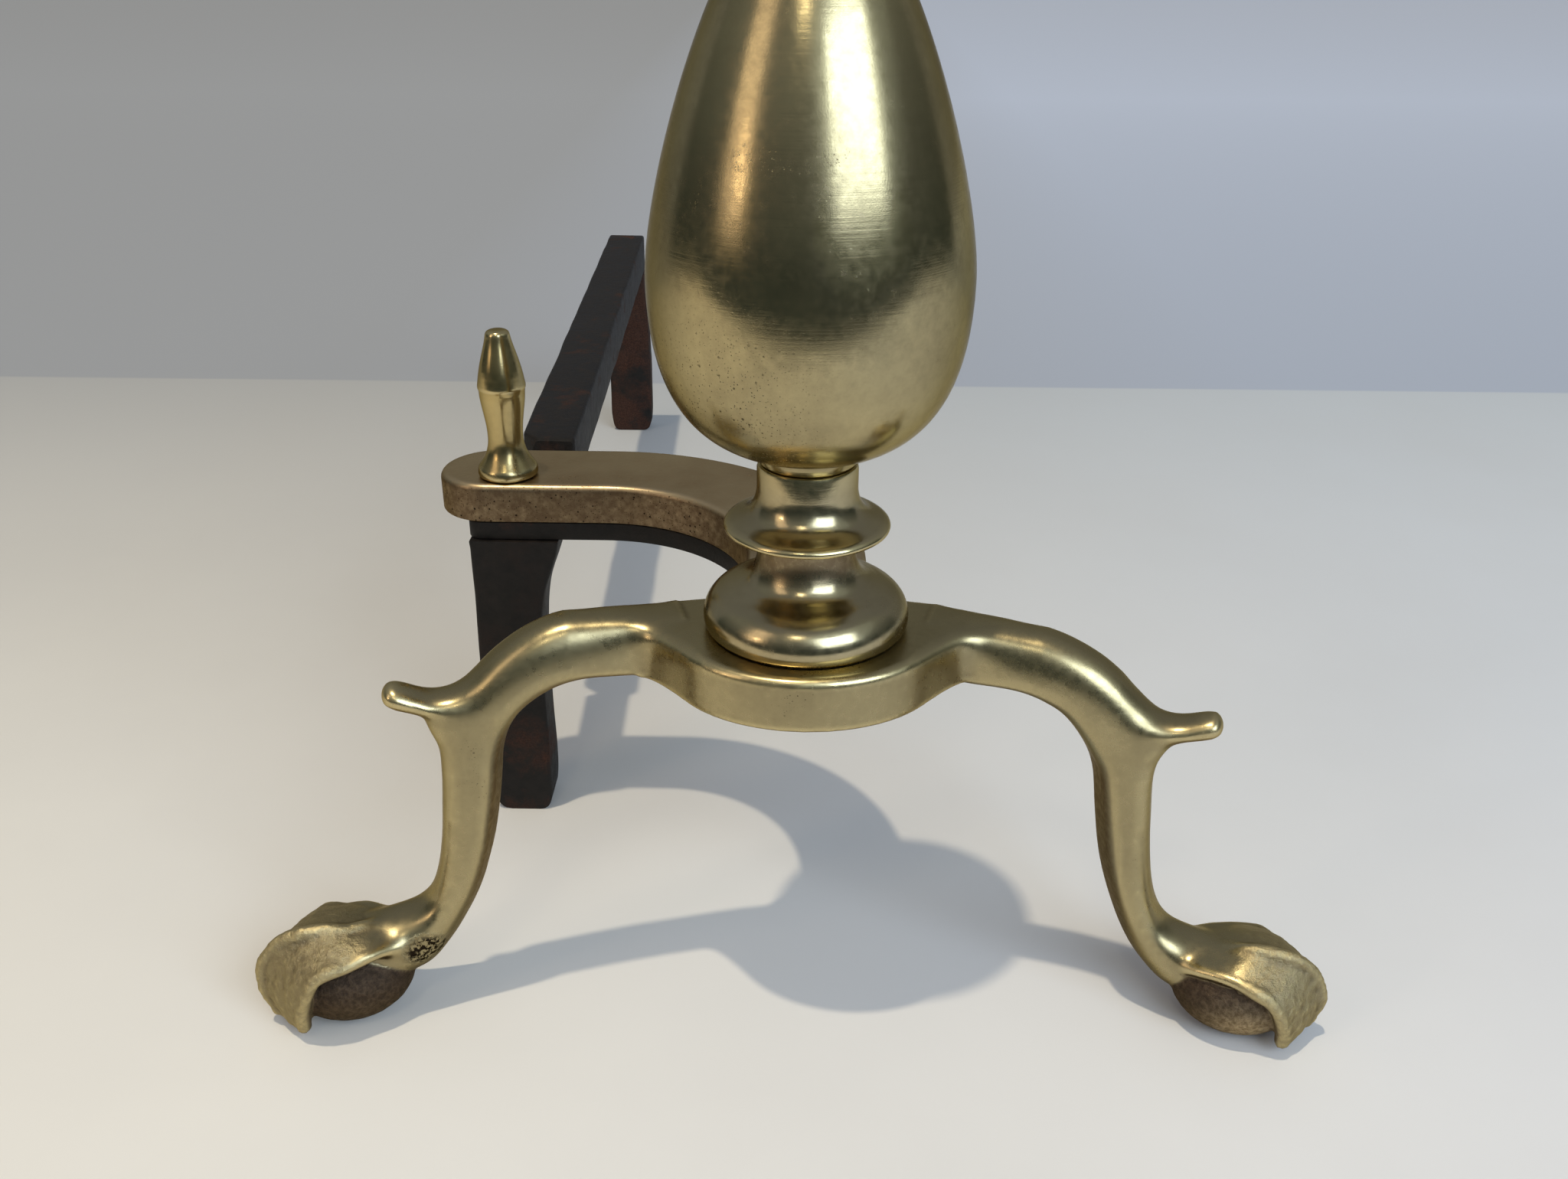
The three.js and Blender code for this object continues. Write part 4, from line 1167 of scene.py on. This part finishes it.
stop_x, stop_y = -93, 88.5
stop_base = arm_top + seat
stop_profile = finial_profile(foot=9.4, waist=5.4, belt=7.3, tip=3.7, height=46, bore=2.8, grip=18.3)
log_stop = spun("log_stop_turning", stop_profile, stop_base, middle=(stop_x, stop_y), sides=96)
stop_brass = turned_brass("turned_brass_log_stop", dull=0.45, rough=0.16, tone=(0.48, 0.375, 0.17))
dressed(log_stop, stop_brass, "turned_brass", "log_stop_finial")

# ----------------------------------------------------------------- front iron leg
# A flat bar of wrought iron stands under the arm's end. It spreads at its head, where
# it meets the strap, and its lower end is worn round and brown with rust.

leg_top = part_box("front_iron_leg")[1].z * 1000
iron_leg_front, iron_leg_back = 78, 94


def box_ring(left, right, front, back, z, corner=1.4, steps=4):
    """A rectangle with round corners at one height."""
    ring = []
    for x, y, start in (
        (right - corner, back - corner, 0),
        (left + corner, back - corner, 1),
        (left + corner, front + corner, 2),
        (right - corner, front + corner, 3),
    ):
        for a in np.linspace(start, start + 1, steps) * math.pi / 2:
            ring.append((x + corner * math.cos(a), y + corner * math.sin(a), z))
    return ring


def forged(rings, size=0.35, patch=16.0):
    """The smith's hammer leaves the faces a little uneven."""
    return [
        [
            tuple(
                max(least, c + size * noise(Vector((x, y, z)) / patch + Vector((7.3 * k, 1.7, 3.1 * k))))
                for k, (c, least) in enumerate(zip((x, y, z), (-1000, -1000, 0)))
            )
            for x, y, z in ring
        ]
        for ring in rings
    ]


# Height, left and right side, as the leg stands.
iron_leg_shape = [
    (0, -99.6, -89.2),
    (0.6, -101.8, -87.2),
    (2.2, -103.6, -86.0),
    (5, -104.6, -85.4),
    (12, -105.1, -85.0),
    (30, -105.6, -84.9),
    (55, -105.5, -84.8),
    (66, -105.2, -84.6),
    (74, -105.1, -84.0),
    (82, -105.0, -82.4),
    (90, -105.0, -79.6),
    (96, -105.0, -77.8),
    (leg_top - 0.4, -105.0, -77.2),
    (leg_top, -104.6, -77.6),
]
rings = [
    box_ring(
        left, right, iron_leg_front, iron_leg_back, z, 0.5 + 0.9 * ease(0, 4, z) * ease(0, 3, leg_top - z)
    )
    for z, left, right in through(iron_leg_shape, 4)
]
metal = bmesh.new()
skin(metal, forged(rings))
front_iron_leg = made("front_leg_of_iron", metal)
smooth(front_iron_leg, 40)
leg_iron = black_iron("black_iron_leg", rust=0.55, rust_low=(20, 70))
dressed(front_iron_leg, leg_iron, "black_iron", "front_iron_leg")

# ------------------------------------------------------------------------- log bar
# A square wrought-iron bar carries the logs. Its front end is drawn down to a tang
# that laps under the strap, where two rivets hold it; soot has blackened it.

bar_low, bar_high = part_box("log_bar")
bar_top, bar_bottom = bar_high.z * 1000, bar_low.z * 1000
bar_start, bar_end, bar_half = 144, 474, 9.5
bar_root, bar_skew = -86.2, math.radians(1.8)
tang_start, tang_half, tang_thickness = 95, 8, 8
tang_top = strap_low - seat

# Distance back from the column, left side, right side, bottom and top. The front end
# is notched on its left, and the tang ends there.
tang = (-tang_half, tang_half, tang_top - tang_thickness, tang_top)
bar_shape = [(y, *tang) for y in (tang_start, tang_start + 1, bar_start - 0.8)]
bar_shape.append((bar_start, -4.6, bar_half - 0.5, bar_bottom + 0.5, bar_top - 0.5))
bar_shape += [
    (y, left, bar_half, bar_bottom, bar_top)
    for y, left in ((145, -3.3), (147.5, -5.7), (151, -9.1), (153, -bar_half))
]
bar_shape += [(y, -bar_half, bar_half, bar_bottom, bar_top) for y in [*range(160, 472, 6), bar_end - 1]]
bar_shape.append((bar_end - 0.2, 0.4 - bar_half, bar_half - 0.4, bar_bottom + 0.4, bar_top - 0.4))
rings = []
for y, left, right, low, high in bar_shape:
    section = box_ring(left, right, low, high, 0, 1.3)
    ring = []
    for x, z, _ in section:
        across = bar_root + x * math.cos(bar_skew) - y * math.sin(bar_skew)
        ring.append((across, y * math.cos(bar_skew) + x * math.sin(bar_skew), z))
    rings.append(ring)
metal = bmesh.new()
skin(metal, forged(rings, 0.5, 22))
log_bar = made("square_log_bar", metal)
smooth(log_bar, 40)
bar_iron = black_iron("black_iron_bar", rust=0.2)
dressed(log_bar, bar_iron, "black_iron", "log_bar")
for node in ("bar_rivet_outer", "bar_rivet_inner"):
    refinish(node, bar_iron)

# ------------------------------------------------------------------------ rear leg
# The back leg is a flat iron bar. Its round tenon goes up through the log bar and is
# riveted over; this leg sits in the fire, and it is the rustiest piece.

rear_low, rear_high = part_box("rear_leg")
rear_x = ((rear_low.x + rear_high.x) / 2 - column_x) * 1000
rear_front = (rear_low.y - column_y) * 1000
rear_back = (rear_high.y - column_y) * 1000
rear_top = bar_bottom - seat
tenon_radius, tenon_y = 5, bar_end - 7.5

# Height and half width.
rear_shape = [
    (0, 7.0),
    (0.7, 8.8),
    (2.6, 10.2),
    (7, 11.0),
    (15, 11.5),
    (40, 11.4),
    (rear_top - 28, 11.0),
    (rear_top - 18, 10.3),
    (rear_top - 8, 9.7),
    (rear_top - 0.5, 9.4),
    (rear_top, 9.0),
]
rings = [
    box_ring(rear_x - half, rear_x + half, rear_front, rear_back, z, 0.5 + 0.9 * ease(0, 4, z))
    for z, half in through(rear_shape, 4)
]
metal = bmesh.new()
skin(metal, forged(rings, 0.45))
tenon_plan = circle(tenon_radius, 24, (rear_x, tenon_y))
skin(metal, [[(x, y, z) for x, y in tenon_plan] for z in (rear_top - 2, bar_top + 0.1)])
rear_leg = made("rear_leg_of_iron", metal)
smooth(rear_leg, 40)
rear_iron = black_iron("rusted_iron_rear_leg", rust=1.0)
dressed(rear_leg, rear_iron, "rusted_iron", "rear_leg")

# ----------------------------------------------------------------- floor and backdrop
# A large pale board to stand the andiron on, with painted light: warm on the left, cool on the
# right, and darker towards the back as the light falls off. Past its back edge the tone is the
# grey of a plain wall, painted lighter and bluer to the right where the cool window's light falls.

floor_depth, board_half = 547, 9000


def sheet(metal, left, right, front, back, z):
    """A flat level sheet between two sides, a front and a back."""
    corners = [(left, front, z), (right, front, z), (right, back, z), (left, back, z)]
    metal.faces.new([metal.verts.new(placed(*corner)) for corner in corners])


metal = bmesh.new()
sheet(metal, -board_half, board_half, -board_half, board_half, 0)
floor = made("floor", metal)
board = Finish("pale_board_with_painted_light_and_grey_wall")
place = board.nodes.new("ShaderNodeSeparateXYZ")
board.join(board.place, place.inputs["Vector"])
edge = column_y + floor_depth / 1000
sideways = board.ramp(place.outputs["X"], -0.3, 0.3)
away = board.ramp(place.outputs["Y"], column_y - 0.06, edge)
# Painted light on the board: warm on the left, cool on the right, and painted darker far back.
near = board.blend(sideways, (0.84, 0.80, 0.72), (0.69, 0.70, 0.73))
far = board.blend(sideways, (0.45, 0.455, 0.45), (0.52, 0.565, 0.615))
smudge = board.ramp(board.grain(160, 4, 0.6), 0.35, 0.75, 0, 0.12)
board_with_painted_light = board.blend(smudge, board.blend(away, near, far), (0.45, 0.44, 0.43))
# The wall band is painted lighter and bluer to the right and further back, as the cool window's light.
wall_low = board.blend(sideways, (0.37, 0.385, 0.41), (0.41, 0.46, 0.56))
wall_high = board.blend(sideways, (0.44, 0.465, 0.505), (0.62, 0.71, 0.90))
wall = board.blend(board.ramp(place.outputs["Y"], edge, edge + 1.4), wall_low, wall_high)
behind = board.ramp(place.outputs["Y"], edge - 0.001, edge + 0.002)
board.join(board.blend(behind, board_with_painted_light, wall), board.shader.inputs["Base Color"])
board.shader.inputs["Roughness"].default_value = 0.6
board.shader.inputs["Specular IOR Level"].default_value = 0.2
floor.data.materials.append(board.material)

# ------------------------------------------------------------------ lamps and flags
# A warm lamp overhead, a large cool window on the right with its glow, and dim warm
# lamps on the left. A dark flag all round the front gives the brass something dark to show;
# it glows faintly, lighter higher up, as a painted reflection seen only in the brass.


def towards(azimuth, elevation, distance, aim=(0, 0, 150)):
    """A place seen from the andiron: azimuth 0 is in front and grows to the right."""
    a, e = math.radians(azimuth), math.radians(elevation)
    return placed(
        aim[0] + distance * math.sin(a) * math.cos(e),
        aim[1] - distance * math.cos(a) * math.cos(e),
        aim[2] + distance * math.sin(e),
    )


def window(name, azimuth, elevation, distance, width, height, power, colour):
    """A flat lamp that looks at the middle of the andiron."""
    lamp = bpy.data.lights.new(name, "AREA")
    lamp.shape, lamp.size, lamp.size_y = "RECTANGLE", width, height
    lamp.energy, lamp.color = power, colour
    holder = bpy.data.objects.new(name, lamp)
    holder.location = towards(azimuth, elevation, distance)
    holder.rotation_euler = (placed(0, 0, 150) - holder.location).to_track_quat("-Z", "Y").to_euler()
    bpy.context.scene.collection.objects.link(holder)


# Azimuth, elevation and distance, width and height in metres, power and colour.
window("window_right", 37, 31, 2400, 1.65, 1.3, 30, (0.85, 1.0, 1.18))
window("window_left", -59, 29, 2400, 0.75, 1.75, 5.5, (1.0, 0.78, 0.6))
window("lamp_left", -55, 19, 2300, 0.12, 0.2, 1.3, (1.0, 0.75, 0.5))
window("lamp_near", -12.5, 50, 2200, 0.26, 0.3, 2.6, (1.0, 0.9, 0.68))
window("glow_right", 34, 38, 2500, 2.6, 2.2, 3.6, (0.88, 1.0, 1.05))
window("glow_wide", 48, 30, 2550, 4.2, 3.0, 6.0, (0.8, 1.0, 1.1))

overhead = bpy.data.lights.new("lamp_overhead", "SUN")
overhead.energy, overhead.color, overhead.angle = 1.3, (1.0, 0.87, 0.65), math.radians(1.6)
holder = bpy.data.objects.new("lamp_overhead", overhead)
holder.rotation_euler = (
    (placed(0, 0, 0) - towards(-50.7, 78.9, 1000, (0, 0, 0))).to_track_quat("-Z", "Y").to_euler()
)
bpy.context.scene.collection.objects.link(holder)

flag_reach, flag_low, flag_high = 2700, 3, 4200
flag_half, flag_back = 2600, -470
metal = bmesh.new()
around = np.radians(np.linspace(-112, 116, 60))
arc = [(flag_reach * math.sin(a), -flag_reach * math.cos(a)) for a in around]
low = [metal.verts.new(placed(x, y, flag_low)) for x, y in arc]
high = [metal.verts.new(placed(x, y, flag_high)) for x, y in arc]
for i in range(len(arc) - 1):
    metal.faces.new((low[i], low[i + 1], high[i + 1], high[i]))
sheet(metal, -flag_half, flag_half, -flag_half, flag_back, flag_low)
flag = made("dark_flag", metal)
dark = Finish("dark_flag_glowing_in_reflections")
dark.shader.inputs["Base Color"].default_value = (0, 0, 0, 1)
dark.shader.inputs["Specular IOR Level"].default_value = 0
# The flag glows faintly, lighter higher up: a painted reflection of the room, seen only in reflections.
lighter_above = dark.ramp(dark.height(), 0.3, 2.0)
glow = dark.blend(lighter_above, (0.048, 0.062, 0.064), (0.25, 0.27, 0.275))
dark.join(glow, dark.shader.inputs["Emission Color"])
dark.shader.inputs["Emission Strength"].default_value = 1
flag.data.materials.append(dark.material)
for kind in ("camera", "diffuse", "shadow", "transmission", "volume_scatter"):
    setattr(flag, "visible_" + kind, False)

world = bpy.data.worlds.new("plain_grey")
world.use_nodes = True
world.node_tree.nodes["Background"].inputs["Color"].default_value = (0.235, 0.25, 0.275, 1)
world.node_tree.nodes["Background"].inputs["Strength"].default_value = 1
bpy.context.scene.world = world

# -------------------------------------------------------------------------- camera
# The camera looks down on the andiron from in front, close enough that the top of
# the vase is outside the picture.

camera_place = (-0.74, -330.46, 283.23)
pitch, yaw, roll = math.radians(25.95), math.radians(-0.85), math.radians(0.34)
ahead = Vector((math.sin(yaw) * math.cos(pitch), math.cos(yaw) * math.cos(pitch), -math.sin(pitch)))
right = Vector((math.cos(yaw), -math.sin(yaw), 0))
up = right.cross(ahead)
rolled_right = right * math.cos(roll) + up * math.sin(roll)
rolled_up = up * math.cos(roll) - right * math.sin(roll)
turn = Matrix((rolled_right, rolled_up, -ahead)).transposed()
view = bpy.data.cameras.new("camera")
view.lens, view.sensor_width, view.sensor_fit = 33.14, 36, "HORIZONTAL"
view.clip_start, view.clip_end = 0.01, 60
camera = bpy.data.objects.new("camera", view)
camera.matrix_world = Matrix.Translation(placed(*camera_place)) @ turn.to_4x4()
bpy.context.scene.collection.objects.link(camera)
bpy.context.scene.camera = camera
bpy.context.scene.view_settings.view_transform = "Standard"
